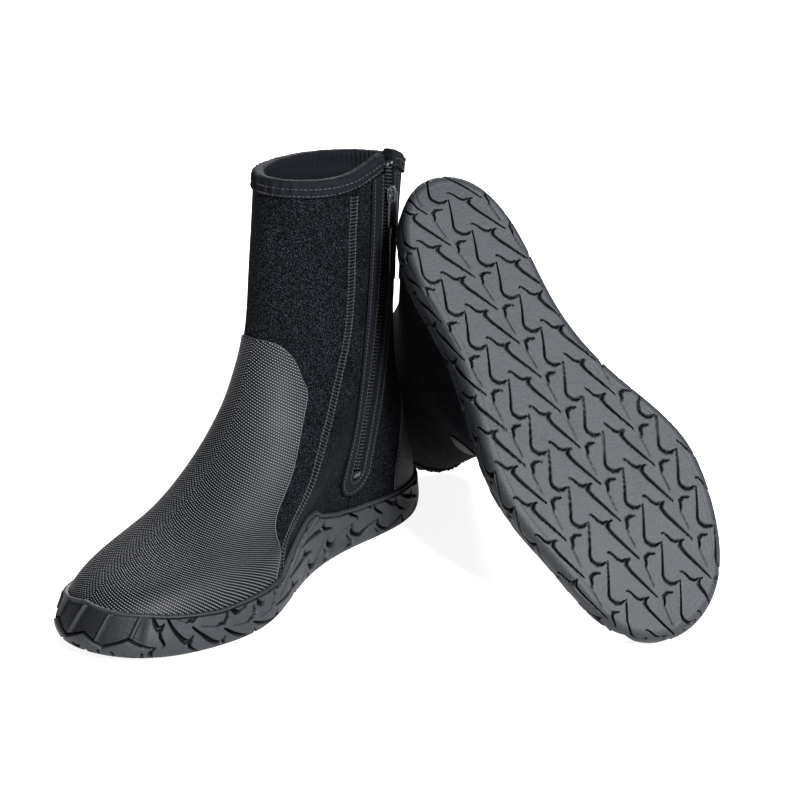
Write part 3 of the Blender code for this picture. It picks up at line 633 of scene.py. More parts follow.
# %% [markdown]
# ## The tread
# A tread is moulded with the sole. Two lugs alternate across it: an arrowhead pointing to the heel, and
# a heart pointing to the toe whose tip sits in the notch of the next heart. Four groove lines make one
# tile of 33.8 by 20 mm. The rows grow a little longer towards the toe, and the columns bend with the
# foot. A depth field carves it, where Booleans would be slow and break on a curved sole: the pattern is
# unrolled over the edge of the sole, so the same function carves the rand.

# %% The tread's groove depth
TILE = (33.8, 20.0)
GROOVES = [
    # each line's points: x towards the inner side, y towards the toe, and the groove's half width there
    [(-1.2, 0.4, 0.3), (-5, 8, 0.45), (-9.2, 15.5, 0.75), (-9.4, 17.8, 1.1),
     (-7.5, 20.4, 1.2), (-4.8, 21.1, 0.9), (-2.2, 20.4, 0.3)],
    [(0.9, 16.7, 0.3), (2.2, 16.8, 0.4), (3.3, 18.4, 0.6),
     (4.6, 21.3, 0.8), (6.6, 22.8, 0.8), (9.0, 22.5, 0.3)],
    [(11.6, 2.9, 0.3), (9.6, 3.1, 0.8), (7.6, 5.2, 1.25),
     (8.6, 8.9, 1.1), (14.0, 20.0, 0.6), (16.2, 24.4, 0.3)],
    [(17.5, 9.2, 0.3), (18.8, 7.8, 0.7), (19.7, 4.9, 1.1), (22.3, 3.8, 0.9), (25.8, 4.6, 0.3)],
]
CREASES = [[(17.6, 9.4, 0.35), (17.2, 19.0, 0.3)]]
COLUMN_AT = [-20, 0, 17, 36, 55, 75, 94, 112, 130, 150, 190, 211, 250, 300, 330]
COLUMN_SHIFT = [-7, -4, 0, 3.75, 7.5, 11.25, 13.75, 15.5, 17.5, 18.75, 20, 21, 21.5, 22, 22]
ROW_SLANT = 0.09
GROOVE_DEPTH = 2.2
GROOVE_WIDTH = 0.62
# Row n starts ROW_LENGTH * n + ROW_GROWTH * n^2 mm along the sole, counted from HEELWARD mm behind FIRST_ROW.
ROW_LENGTH, ROW_GROWTH, FIRST_ROW, HEELWARD = 18.8, 0.08, 17.5, 400
HEART_TIP = (17.3, 28.0)


def distance_to_lines(a, b, lines, wide):
    """Groove share 0 to 1 at tile places: nearest segment, distance over half width, rounded V section."""
    near = np.full(a.shape, 1e9, np.float32)
    for points in lines:
        for shift_x in (-TILE[0], 0, TILE[0]):
            for shift_y in (-TILE[1], 0, TILE[1]):
                for (x0, y0, w0), (x1, y1, w1) in zip(points, points[1:]):
                    px, py = a - (x0 + shift_x), b - (y0 + shift_y)
                    dx, dy = x1 - x0, y1 - y0
                    along = np.clip((px * dx + py * dy) / (dx * dx + dy * dy), 0, 1)
                    away = (px - along * dx) ** 2 + (py - along * dy) ** 2
                    near = np.minimum(near, away / (wide * (w0 + along * (w1 - w0))) ** 2)
    return 1 - smooth_step(np.sqrt(near), 0.45, 1.35)


def tread(x, y, wide):
    """The groove share at a place on the unrolled sole, x across and y along the boot."""
    down = -y - ROW_SLANT * x
    travel = np.clip(down - FIRST_ROW + HEELWARD, 0, None)
    number = (-ROW_LENGTH + np.sqrt(ROW_LENGTH**2 + 4 * ROW_GROWTH * travel)) / (2 * ROW_GROWTH)
    start = (-ROW_LENGTH + math.sqrt(ROW_LENGTH**2 + 4 * ROW_GROWTH * HEELWARD)) / (2 * ROW_GROWTH)
    b = np.mod((number - start) * TILE[1], TILE[1]).astype(np.float32)
    a = np.mod(x - np.interp(-y, COLUMN_AT, COLUMN_SHIFT), TILE[0]).astype(np.float32)
    grooves = distance_to_lines(a, b, GROOVES, wide)
    creases = distance_to_lines(a, b, CREASES, 1.0) * 0.22
    turn = np.arctan2(a - HEART_TIP[0], HEART_TIP[1] - b)
    fan = (0.5 + 0.5 * np.cos(turn * 52.0 + 0.2 * b)) ** 2
    striped = smooth_step(0.34 - np.abs(turn), 0.0, 0.12) * smooth_step(b, 6.0, 9.0)
    return np.maximum(grooves, np.maximum(creases, 0.035 * fan * striped))


def toe_ribs(travel, height):
    """The toe's own relief: sunk panels above a zigzag, |saw(travel)|, with thin ribs left between them. The
    same share also paints the sunk panels darker as painted shade.
    """
    saw = 5.5 + 6.5 * np.abs((travel / 13.0 + 0.5) % 2 - 1)
    edge = 1 - smooth_step(np.abs(height - saw), 0.3, 1.3)
    nearest = np.abs((travel + 4.0 + 0.25 * height) % 18.0 - 9.0)
    panel_share = smooth_step(height - saw, 0.0, 1.4) * smooth_step(nearest, 0.5, 1.5)
    return np.maximum(edge, 0.62 * panel_share)


def outline(angle, inset):
    """The sole's outline drawn in by inset: x and y, with the outward direction in plan."""
    along = (1 - np.cos(angle)) / 2
    basis = read(TABLE_ALONG, TABLE_BASIS, along)
    outer, inner, centre = (
        (basis * np.array(values)).sum(-1)
        for values in (OUTER_HALF_WIDTH, INNER_HALF_WIDTH, CENTRE_SHIFT)
    )
    half = np.where(np.sin(angle) >= 0, inner, outer) - inset
    y = -SOLE_LENGTH / 2 + (SOLE_LENGTH / 2 - inset) * np.cos(angle)
    return np.stack([centre + half * np.sin(angle), y], -1), centre


def grid_normals(points):
    """Unit normals of a grid of points from differences along its rows and columns."""
    normal = np.cross(np.gradient(points, axis=1), np.gradient(points, axis=0))
    length = np.linalg.norm(normal, axis=-1, keepdims=True)
    return normal / np.maximum(length, 1e-9)


def resample(lines, count):
    """Each row's polyline of points, redrawn as a smooth curve with evenly spaced points."""
    step = np.linalg.norm(np.diff(lines, axis=1), axis=-1).mean(0)
    knots = np.concatenate([[0], np.cumsum(step)]) / step.sum()
    return np.moveaxis(spline(knots, np.moveaxis(lines, 1, 0), np.linspace(0, 1, count)), 0, 1)


# %% [markdown]
# ## The outsole
# The outsole is one rubber cup: the bottom, and the rand that wraps up over the cloth to keep water out
# of the seam. The bottom is a grid of strips straight across the foot, and the side runs from 7.5 mm
# inside the edge round the corner and up the rand to its lip. Grooves push the surface in along its
# normal, which keeps the relief real in a side view, where bump mapping would leave a smooth edge.

# %% Outsole pieces
SOLE_INSET = 7.5
SIDE_COLUMNS, SIDE_ROWS = 1260, 76
BOTTOM_ROWS, BOTTOM_COLUMNS = 540, 176


def rand_profile(angle):
    """The side's section at each angle, from under the sole to the rand's lip, as 9 points."""
    top = rand_share(angle)
    flat, _ = outline(angle, SOLE_INSET)
    first = np.column_stack([flat, sole_rise(flat[:, 1])])
    rows = [first]
    for inset, height in ((5.0, 0.0), (2.2, 1.2), (0.6, 4.2)):
        flat, _ = outline(angle, inset)
        rows.append(np.column_stack([flat, sole_rise(flat[:, 1]) + height]))
    wall = RAND_THICKNESS + 0.9 * np.exp(-((turn_between(angle, math.pi) / 0.6) ** 4))
    for level, out in ((0.0, 0.0), (0.35, 0.0), (0.7, -0.1), (0.93, -0.4)):
        rows.append(offset(angle, top * level, wall + out))
    rows.append(offset(angle, top * 1.0, wall - 1.6))
    return np.stack(rows, 1)


def sole_side(side):
    """The rand: the tread pattern unrolled up the side, deeper ribs round the toe, a smooth top band."""
    columns = SIDE_COLUMNS
    angle = np.linspace(0, TAU, columns + 1)
    points = resample(rand_profile(angle), SIDE_ROWS)
    normal = grid_normals(points)
    edge, _ = outline(angle, 0.0)
    tangent = np.gradient(edge, axis=0)
    away = np.stack([tangent[:, 1], -tangent[:, 0]], -1)
    away /= np.maximum(np.linalg.norm(away, axis=-1, keepdims=True), 1e-9)
    away *= np.sign((away * (edge - [0, -SOLE_LENGTH / 2])).sum(-1, keepdims=True))
    travel = travelled(points, 1)
    start = points[:, :1, :2]
    flat = start + away[:, None] * travel[..., None]
    groove = tread(flat[..., 0], flat[..., 1], GROOVE_WIDTH * (1 + 0.7 * smooth_step(travel, 3.0, 9.0)))
    round_edge = travelled(edge)
    from_toe = round_edge - np.interp(math.pi, angle, round_edge)
    ribs = toe_ribs(from_toe[:, None] + 0 * travel, travel - 6.0)
    at_toe = 1 - smooth_step(np.abs(from_toe), 38.0, 44.0)[:, None] * np.ones_like(travel)
    at_toe = at_toe * smooth_step(travel, 7.0, 10.0)
    groove = groove * (1 - at_toe) + ribs * at_toe
    left = travel[:, -1:] - travel
    band = smooth_step(left, 1.8, 2.6)
    seam = np.exp(-(((left - 2.5) / 0.45) ** 2))
    groove = np.maximum(groove * band, seam * 0.5)
    deep = GROOVE_DEPTH * (1 + 0.35 * smooth_step(travel, 4.0, 9.0))
    points = points - normal * (groove * deep)[..., None]
    top = rand_share(angle)
    lip = offset(angle, top * 0.99, np.full(angle.shape, 0.35))
    foot = offset(angle, 0.0, np.full(angle.shape, 0.35))
    under, _ = outline(angle, 9.0)
    under = np.column_stack([under, sole_rise(under[:, 1]) + 3.0])
    points = np.concatenate([points, lip[:, None], foot[:, None], under[:, None]], 1)
    # Painted shade: the groove depth, the sunk toe panels and the line under the lip are also stored to paint
    # those recesses darker.
    painted_shade = np.concatenate([groove, np.zeros((len(angle), 3))], 1)
    points, painted_shade = points[:-1], painted_shade[:-1]
    rows, ring = points.shape[:2]
    faces = grid_faces(rows, ring, close=True)
    c = np.arange(ring)
    n = (c + 1) % ring
    last = (rows - 1) * ring
    faces = np.concatenate([faces, np.stack([last + c, last + n, n, c], -1)])
    points = points.reshape(-1, 3)
    piece = as_piece(side, "rand", points, faces, SOLE_RUBBER, "boot", painted_shade=painted_shade.ravel(), sharp=65)
    return piece, len(faces)


def sole_bottom(side, part, first, last):
    """The tread between two angles from the heel: strips across the foot, closed by a flat back."""
    fine = 1
    rows = int(BOTTOM_ROWS * (last - first) / math.pi) // fine + 1
    columns = BOTTOM_COLUMNS // fine + 1
    angle = np.linspace(first, last, rows)
    inner, _ = outline(angle, SOLE_INSET)
    outer, _ = outline(TAU - angle, SOLE_INSET)
    across = np.linspace(0, 1, columns)[None, :, None]
    flat = outer[:, None] * (1 - across) + inner[:, None] * across
    groove = tread(flat[..., 0], flat[..., 1], GROOVE_WIDTH)
    rise = sole_rise(flat[..., 1])
    low = np.concatenate([flat, (rise + groove * GROOVE_DEPTH)[..., None]], -1)
    high = np.concatenate([flat, (rise + 3.4)[..., None]], -1)
    points, faces = slab(high, low)
    # Painted shade: the tread's groove depth is also stored to paint the grooves darker; the flat back gets
    # none.
    painted_shade = np.concatenate([np.zeros(groove.size), groove.ravel()])
    piece = as_piece(side, f"tread_{part}", points, faces, SOLE_RUBBER, "boot", painted_shade=painted_shade, sharp=65)
    return piece, len(faces)


def outsole(side):
    """The rand and the two halves of the bottom."""
    rand, count = sole_side(side)
    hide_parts(f"{side}_outsole", f"{side}_toe_bumper")
    total = count
    for part, first, last in (("heel", 0.02, 1.5), ("toe", 1.5, math.pi - 0.02)):
        piece, count = sole_bottom(side, part, first, last)
        total += count
    return total


for boot_side in PLACES:
    print(boot_side, "outsole quads", outsole(boot_side))

# %% [markdown]
# ## Neoprene panels
# A boot of this kind is cut from flat neoprene 5 mm thick and sewn into a sock: a front panel, an inner
# quarter and a heel quarter. Each is a patch with that thickness whose edges sink where it is sewn to
# the next one. Neoprene holds its shape, so shallow ripples and a few folds below the collar and at the
# ankle are written as waves. A cloth simulation would give folds too, but looser ones, as in thin cloth.

# %% Panels
SEAM_GAP = 0.004


def folds(angle, share):
    """Folds in mm: shallow waves all over, and slanting creases on the shin under the collar."""
    round_ring = angle * 45.0
    height = share * 235.0
    waves = 0.35 * ripple(round_ring, height, 3, 6, (50.0, 120.0))
    shin = np.exp(-(((angle - 2.35) / 0.55) ** 2)) * smooth_step(height, 150, 215)
    slanted = np.sin((round_ring * 0.55 + height) * TAU / 17.0 + 0.8 * np.sin(round_ring / 9.0))
    ankle = np.exp(-(((height - 108) / 26) ** 2)) * np.exp(-(((angle - 2.9) / 0.8) ** 2))
    dents = np.sin(height * TAU / 34.0 + 0.6 * np.sin(round_ring / 14.0))
    return waves + 0.45 * shin * slanted - 0.35 * ankle * (0.5 + dents)


def front_seam(share):
    """The angle of the seam beside the shin."""
    return np.interp(share, SEAM_SHARE, SEAM_ANGLE)


def smooth_seam(share):
    """The seam's table smoothed: the mean of nearby readings."""
    share = np.asarray(share, float)
    spread = np.linspace(-0.05, 0.05, 9)
    return sum(front_seam(np.clip(share + d, 0, 1)) for d in spread) / len(spread)


def panel(side, name, start, end, columns, rows):
    """One panel between two seams, each a function of share that gives an angle."""
    share, across = np.meshgrid(np.linspace(0, 1, rows), np.linspace(0, 1, columns), indexing="ij")
    share = 0.004 + share * 0.99
    first, last = start(share) + SEAM_GAP, end(share) - SEAM_GAP
    angle = first + (last - first) * across
    travel = travelled(surface(angle, share), 1)
    near = np.minimum(travel, travel[:, -1:] - travel)
    sink = 0.7 * np.exp(-((near / 2.2) ** 2))
    height = folds(angle, share) - sink
    edge = 1 - np.exp(-((near / 0.9) ** 2)) * 0.35
    outside = offset(angle, share, height)
    inside = offset(angle, share, -NEOPRENE * edge)
    points, faces = slab(outside, inside)
    piece = as_piece(side, name, points, faces, NEOPRENE_JERSEY, "boot")
    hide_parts(f"{side}_{name}")
    return len(faces)


def back_seam(share):
    """The seam up the outer side, at one angle all the way."""
    return np.full(np.shape(share), BACK_SEAM_ANGLE)


for boot_side in PLACES:
    print(boot_side, "panel quads", [
        panel(boot_side, "front_panel", smooth_seam, back_seam, 190, 170),
        panel(boot_side, "inner_quarter", lambda s: zip_edge(s, 5.0), smooth_seam, 44, 170),
        panel(boot_side, "heel_quarter", lambda s: back_seam(s) - TAU, lambda s: zip_edge(s, -5.0), 110, 170),
    ])

# %% [markdown]
# ## Overlays
# Rubber printed on the cloth guards the toe and the heel from wear. Each patch is 1.15 mm thick with
# a paler bead of rubber round its edge. UV is in metres from the middle line, so that the dashes keep
# their real size; carving each dash would take millions of faces for the same look.

# %% Overlay pieces
OVERLAY_TOP, OVERLAY_FOOT, BEAD_RADIUS = 1.25, 0.1, 0.42


def overlay_piece(side, name, angle, share, centre_angle):
    """One patch on a grid of places, with a round bead along its free edge."""
    height = folds(angle, share)
    outside = offset(angle, share, height + OVERLAY_TOP)
    inside = offset(angle, share, height + OVERLAY_FOOT)
    rim = np.minimum.reduce([np.minimum(k, k.max() - k) for k in np.indices(angle.shape)])
    outside = np.where((rim == 0)[..., None], 0.45 * outside + 0.55 * inside, outside)
    u = travelled(surface(angle, share))
    middle = np.argmin(np.abs(angle[:, 0] - centre_angle))
    u = (u - u[middle]) * MM
    v = travelled(surface(angle, share), 1)
    v = (v[middle][None, :] + 0 * v) * MM
    uv = np.stack([u, v], -1).reshape(-1, 2)
    points, faces = slab(outside, inside)
    piece = as_piece(side, name, points, faces, OVERLAY_RUBBER, "boot", uv=np.concatenate([uv, uv]))
    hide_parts(f"{side}_{name}")
    free_edge = np.concatenate([outside[0], outside[1:, -1], outside[-1, -2::-1]])
    bead, bead_faces = tube(free_edge, BEAD_RADIUS)
    edge = as_piece(side, f"{name}_edge", bead, bead_faces, EDGE_RUBBER, "boot")
    return len(faces) + len(bead_faces)


def overlays(side):
    """The toe patch, whose top is a super-ellipse, and the heel patch, which narrows upward."""
    across, level = np.meshgrid(np.linspace(0, 1, 181), np.linspace(0, 1, 121), indexing="ij")
    table = np.linspace(0, OVERLAY_SHARE[-1], 200)
    edge = spline(OVERLAY_SHARE, OVERLAY_ANGLE, table)
    inner = np.interp(level * OVERLAY_SHARE[-1], table, edge)
    near_top = np.clip((level - 0.72) / 0.28, 0, 1)
    inner = np.minimum(inner, 2.24) + 0.72 * (1 - (1 - near_top**2.2) ** (1 / 2.2))
    angle = inner + (TAU - 2 * inner) * across
    bottom = rand_share(angle) * 0.9
    share = bottom + (OVERLAY_SHARE[-1] - bottom) * level
    toe = overlay_piece(side, "toe_overlay", angle, share, math.pi)
    across, level = np.meshgrid(np.linspace(-1, 1, 81), np.linspace(0, 1, 61), indexing="ij")
    angle = HEEL_PATCH_ANGLE * across * np.sqrt(1 - 0.6 * level**2)
    bottom = rand_share(angle) * 0.9
    share = bottom + (HEEL_PATCH_TOP - bottom) * level
    heel = overlay_piece(side, "heel_overlay", angle, share, 0.0)
    return toe, heel


for boot_side in PLACES:
    print(boot_side, "overlay quads", overlays(boot_side))

# %% [markdown]
# ## Stitching
# Thread is what a viewer looks for on sewn goods. A stitch is one small capsule. A row of them follows a
# line on the boot, turned or shifted in turn: straight for lockstitch, slanting to and fro for the flat
# seam that joins the panels. A texture of stitches is lighter, but it goes flat in a close view.

# %% Stitches
STITCH_PITCH = 2.9


def capsule(length, radius):
    """A capsule along x: six rings of six points, narrowing at both ends."""
    at = np.array([-0.5, -0.44, -0.25, 0.25, 0.44, 0.5]) * length
    wide = np.array([0.3, 0.8, 1.0, 1.0, 0.8, 0.3]) * radius
    turn = np.arange(6) / 6 * TAU
    rings = [np.column_stack([np.full(6, x), r * np.cos(turn), r * np.sin(turn)]) for x, r in zip(at, wide)]
    return loft(rings)


def along_path(points, normals, pitch, shift=0.0):
    """Places every pitch mm along a line, with three directions: along it, beside it and outward."""
    travel = travelled(points)
    at = np.arange(pitch / 2, travel[-1] - pitch / 2, pitch)
    slope = np.gradient(points, travel, axis=0)
    origin, along, out = (
        np.stack([np.interp(at, travel, values[:, i]) for i in range(3)], -1)
        for values in (points, slope, normals)
    )
    along = unit(along)
    beside = np.cross(out, along)
    beside = unit(beside)
    out = np.cross(along, beside)
    return origin + beside * shift, np.stack([along, beside, out], 1)


def turned(axes, angles):
    """The directions turned in their own plane: x' = x cos + y sin, y' = y cos - x sin."""
    cos, sin = np.cos(angles)[:, None], np.sin(angles)[:, None]
    x = axes[:, 0] * cos + axes[:, 1] * sin
    y = axes[:, 1] * cos - axes[:, 0] * sin
    return np.stack([x, y, axes[:, 2]], 1)


def merge(parts):
    """Several meshes as one: their points in a row and their faces renumbered."""
    points = np.concatenate([part[0] for part in parts])
    starts = np.cumsum([0] + [len(part[0]) for part in parts[:-1]])
    faces = [np.where(part[1] >= 0, part[1] + first, -1) for part, first in zip(parts, starts)]
    return points, np.concatenate(faces)


def lockstitch(side, name, points, normals, pitch=STITCH_PITCH):
    """A row of stitches, each 0.78 of the pitch long."""
    shape, faces = capsule(pitch * 0.78, 0.45)
    origins, axes = along_path(points, normals, pitch)
    row = as_piece(side, name, *copies(shape, faces, origins, axes), THREAD, "boot")
    return len(origins)


def flat_seam(side, name, line):
    """A coverstitch 5 mm wide: two edge rows with threads crossing between them."""
    share = np.linspace(0.035, 0.955, 400)
    angle = line(share)
    points = offset(angle, share, folds(angle, share) - 0.25)
    normals = normal_at(angle, share)
    parts = []
    for shift in (-2.3, 2.3):
        origins, axes = along_path(points, normals, 2.1, shift)
        parts.append(copies(*capsule(1.9, 0.6), origins, turned(axes, np.full(len(origins), 0.2 * shift))))
    origins, axes = along_path(points, normals, 2.1)
    turns = math.pi / 2 + 0.13 * (-1.0) ** np.arange(len(origins))
    parts.append(copies(*capsule(4.9, 0.36), origins, turned(axes, turns)))
    seam = as_piece(side, name, *merge(parts), THREAD, "boot")
    return len(origins)


for boot_side in PLACES:
    print(boot_side, "seam stitches", flat_seam(boot_side, "front_seam", smooth_seam),
          flat_seam(boot_side, "back_seam", back_seam))

# %% [markdown]
# ## Collar
# The raw top edge is bound with a strip of elastic cloth folded over it and sewn twice. One section is
# carried round the collar, with waves in it, so that it rolls and puckers between its stitches.

# %% Collar binding
PLEAT = 3.4
BINDING_SECTION = [
    # up from the neoprene's edge, and out from its face
    (-9.0, 0.9), (-8.7, 1.5), (-7.4, 1.45), (-5.6, 1.75), (-3.6, 1.6), (-1.8, 1.75), (-0.2, 1.55),
    (0.8, 0.7), (1.3, -0.8), (1.4, -2.7), (1.25, -4.6), (0.6, -6.0), (-0.8, -6.65), (-3.0, -6.75),
    (-6.0, -6.7), (-10.0, -6.7),
    (-15.0, -6.7), (-15.5, -6.3), (-15.5, -5.7), (-9.0, -5.6), (0.1, -5.4), (0.2, 0.3), (-4.0, 0.5),
]


def binding_lines(angle, section):
    """Lines round the collar at each place of a section, puckered by waves along the strip."""
    rate = np.linalg.norm(surface(angle, 1.0) - surface(angle, 0.999), axis=-1) / 1e-3
    travel = travelled(surface(angle, 1.0))
    lines = []
    for up, out in section:
        pucker = 0.5 * ripple(travel + 1.1 * up, up * 1.9 + 0 * travel, 11, 6, (3.6, 11.0))
        if out < -5.8:
            pucker = 0.45 * np.cos(travel * TAU / PLEAT + 0.12 * up) * (up < -0.5)
        stitched = 0.25 * np.cos(travel * TAU / STITCH_PITCH) * math.exp(-(((up + 7.4) / 1.6) ** 2))
        swing = np.clip((up + 9.5) / 3, 0, 1) * (1.0 if out > 0.6 or out < -5.7 else 0.5)
        moved = out + (pucker * swing - 0.35 * swing + stitched) * np.sign(out + 2.7)
        lines.append(offset(angle, 1 + (up + 0.25 * pucker * swing) / rate, moved))
    return np.stack(lines, 1)


def collar(side):
    """The binding from the zip's rear edge round to its front edge, and its two rows of stitches."""
    start, end = (float(beside_zip(2.0, edge)[0]) for edge in (5.0, -5.0))
    angle = np.linspace(start, end + TAU, 700)
    rings = binding_lines(angle, BINDING_SECTION)
    piece = as_piece(side, "binding", *loft(rings), BINDING_CLOTH, "boot", sharp=80)
    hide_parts(f"{side}_collar_binding")
    lines = binding_lines(angle, [(-7.8, 1.45), (-3.8, 1.65)])
    normals = normal_at(angle, np.ones_like(angle))
    return [lockstitch(side, f"binding_stitches_{i}", lines[:, i], normals) for i in range(2)]


for boot_side in PLACES:
    print(boot_side, "collar stitches", collar(boot_side))

# %% [markdown]
# ## Zip
# Moulded teeth every 2.2 mm on each tape, the two rows set half a pitch apart so that they mesh, with
# stops at both ends. A U of cloth covers the tapes' outer edges, and a flap seals the zip from inside.
# Each tooth is a mesh of its own here, because a row of plain bars shows at once in a close view.

# %% Zip strips, teeth and facing
def on_zip(run, across, height):
    """The point down the zip, in front of it and out from the neoprene by these distances."""
    return offset(*beside_zip(run, across), height)


def strip(side, name, run, across, low, high, material, node):
    """A strip beside the zip between two heights, with UV in metres down and across it."""
    run, across = np.meshgrid(run, across, indexing="ij")
    outside, inside = (on_zip(run, across, level + 0 * run) for level in (high, low))
    uv = np.tile(np.stack([across, run], -1).reshape(-1, 2) * MM, (2, 1))
    piece = as_piece(side, name, *slab(outside, inside), material, "boot", uv=uv, sharp=50)
    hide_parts(f"{side}_{node}")
    return piece


def tooth():
    """A tooth 3.1 mm across the zip, with a rounded head that hooks between its neighbours."""
    at = np.array([-1.55, -1.3, -0.5, 0.5, 1.0, 1.55, 1.7])
    long = np.array([0.35, 0.5, 0.55, 0.42, 0.62, 0.55, 0.3])
    tall = np.array([0.55, 0.85, 0.95, 0.9, 1.0, 0.9, 0.5])
    turn = (np.arange(8) + 0.5) / 8 * TAU
    square = np.stack([np.cos(turn), np.sin(turn)], -1)
    square = np.sign(square) * np.abs(square) ** 0.6
    return loft([
        np.column_stack([np.full(8, x), square[:, 0] * wide, square[:, 1] * high])
        for x, wide, high in zip(at, long, tall)
    ])


def zip_axes(run, across):
    """At each place: towards the zip's middle, down the zip, and outward."""
    inward = on_zip(run, across * 0.8, 0 * run) - on_zip(run, across, 0 * run)
    down = on_zip(run + 0.5, across, 0 * run) - on_zip(run - 0.5, across, 0 * run)
    inward = unit(inward)
    down -= inward * (down * inward).sum(1, keepdims=True)
    down = unit(down)
    out = np.cross(inward, down)
    return np.stack([inward, down, out], 1)


TOOTH_PITCH = 2.2


def zip_rows(side):
    run = np.linspace(6, ZIP_LENGTH + 2, 160)
    for name, sign, start in (("front", 1.0, 2.8), ("rear", -1.0, 3.9)):
        strip(side, f"tape_{name}", run, sign * np.linspace(3.5, 14.5, 12), 0.5, 1.0, TAPE_CLOTH,
              f"zip_tape_{name}")
        at = np.arange(start, ZIP_LENGTH - 0.8, TOOTH_PITCH)
        across = np.full(at.shape, sign * 1.55)
        teeth = copies(*tooth(), on_zip(at, across, np.full(at.shape, 0.7)), zip_axes(at, across))
        row = as_piece(side, f"teeth_{name}", *teeth, TOOTH_PLASTIC, "boot")
        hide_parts(f"{side}_zip_teeth_{name}")
        strip(side, f"top_stop_{name}", np.linspace(0.2, 1.8, 4), sign * np.linspace(0.8, 3.2, 4), -0.6, 2.0,
              ZIP_METAL, f"zip_top_stop_{name}")
    strip(side, "bottom_stop", ZIP_LENGTH + np.linspace(0.5, 3.2, 6), np.linspace(-3, 3, 6), -0.4, 2.0,
          ZIP_METAL, "zip_bottom_stop")
    strip(side, "gusset", np.linspace(17, ZIP_LENGTH + 4, 60), np.linspace(-14, 14, 15), -7.2, -5.4,
          NEOPRENE_JERSEY, "zip_gusset")
    return len(at)


def round_zip(reach, rows=150):
    """Down the front of the zip, round its foot on a half circle and up behind: run and distance."""
    straight = np.linspace(6, ZIP_LENGTH, rows)
    bend = np.linspace(0, math.pi, 50)[1:-1]
    run = np.concatenate([straight, ZIP_LENGTH + reach * np.sin(bend), straight[::-1]])
    across = np.concatenate([np.full(rows, reach), reach * np.cos(bend), np.full(rows, -reach)])
    return run, across


# Distance from the zip's middle line, and height over the neoprene.
FACING_SECTION = [(5.0, 1.35), (5.15, 1.9), (5.6, 2.1), (6.3, 1.95), (7.2, 1.6), (8.5, 1.7), (10.5, 1.8),
                  (12.4, 1.6), (13.2, 1.45), (13.8, 1.9), (14.4, 2.15), (14.85, 1.9), (15.0, 1.3)]


def facing(side):
    """The U of cloth. Its outer edge is turned under, which leaves a bead."""
    grids = []
    for reach, height in FACING_SECTION:
        run, across = round_zip(reach)
        wave = 0.12 * ripple(run, across, 21, 4, (8.0, 30.0))
        grids.append(on_zip(run, across, height + wave))
    outside = np.stack(grids, 1)
    under = np.stack([on_zip(*round_zip(reach), np.full(len(run), 1.1)) for reach, _ in FACING_SECTION], 1)
    piece = as_piece(side, "facing", *slab(outside, under), BINDING_CLOTH, "boot", sharp=70)
    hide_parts(f"{side}_zip_facing")
    counts = []
    for reach, height in ((6.6, 2.0), (12.9, 1.75)):
        run, across = round_zip(reach)
        angle, share = beside_zip(run, across)
        line = offset(angle, share, np.full(run.shape, height))
        counts.append(lockstitch(side, f"facing_stitches_{round(reach)}", line, normal_at(angle, share), 2.4))
    return counts


for boot_side in PLACES:
    print(boot_side, "teeth on each side", zip_rows(boot_side), "facing stitches", facing(boot_side))

# %% [markdown]
# ## Slider and pull
# The slider's plates ride over both tooth rows, and a wire loop and a long moulded tab hang from its
# bridge. All are drawn in the slider's own directions, down the zip, forward and outward, in mm, so that
# they move with its joint. The loop and tab turn about its bar. The tab thins and curls out to its tip,
# so that it clears the rand when the zip is down.

# %% Slider, loop and tab
def slider_frame():
    """The slider's place on the zip, and its directions down the zip, forward and outward."""
    origin = zip_point(SLIDER_FROM_TOP)
    radial = (origin - ZIP_CENTRE) / ZIP_RADIUS
    down = np.cross(radial, ZIP_OUT)
    down = down if down[2] < 0 else -down
    outward = normal_at(*beside_zip(SLIDER_FROM_TOP, 0.0))
    roll = math.atan2(float(outward @ radial), float(outward @ ZIP_OUT))
    out = math.cos(roll) * ZIP_OUT + math.sin(roll) * radial
    forward = math.sin(roll) * ZIP_OUT - math.cos(roll) * radial
    return origin, np.stack([down, forward, out])


SLIDER_ORIGIN, SLIDER_AXES = slider_frame()
PULL_BAR = (-1.5, 0.0, 4.35)
LOOP_LENGTH = 21.0
BRIDGE = [(-4.0, 0, 3.1), (-3.9, 0, 4.9), (-2.9, 0, 5.5), (2.9, 0, 5.5), (3.9, 0, 4.9), (4.0, 0, 3.1)]


def plate(half_x, half_y, low, high, bevel, power=0.66, centre=0.0):
    """A flat piece with a super-ellipse outline, |x|^n + |y|^n = 1, and bevelled top and bottom."""
    turn = np.arange(48) / 48 * TAU
    cos, sin = np.cos(turn), np.sin(turn)
    outline_xy = np.stack([np.sign(cos) * np.abs(cos) ** power, np.sign(sin) * np.abs(sin) ** power], -1)
    rings = []
    foot = (low, bevel), (low + bevel * 0.4, bevel * 0.25), (low + bevel, 0)
    head = (high - bevel, 0), (high - bevel * 0.4, bevel * 0.25), (high, bevel)
    for height, inset in foot + head:
        size = np.array([half_x - inset, half_y - inset])
        rings.append(np.column_stack([outline_xy * size + [centre, 0], np.full(48, height)]))
    return loft(rings)


def in_slider(points):
    """From the slider's own directions to the boot's."""
    return SLIDER_ORIGIN + points @ SLIDER_AXES


def loop_path():
    """The loop's middle line: a rectangle with corners of 2.4 mm radius, level at the bar's height."""
    turn = np.linspace(0, math.pi / 2, 7)
    corners = []
    near, far = 0.9, LOOP_LENGTH - 3.9
    quarter = math.pi / 2
    for start, x, y in ((math.pi, near, -2.0), (-quarter, far, -2.0), (0, far, 2.0), (quarter, near, 2.0)):
        corners.append(np.column_stack([x + 2.4 * np.cos(start + turn), y + 2.4 * np.sin(start + turn)]))
    path = np.concatenate(corners)
    return np.column_stack([path, np.full(len(path), PULL_BAR[2])])


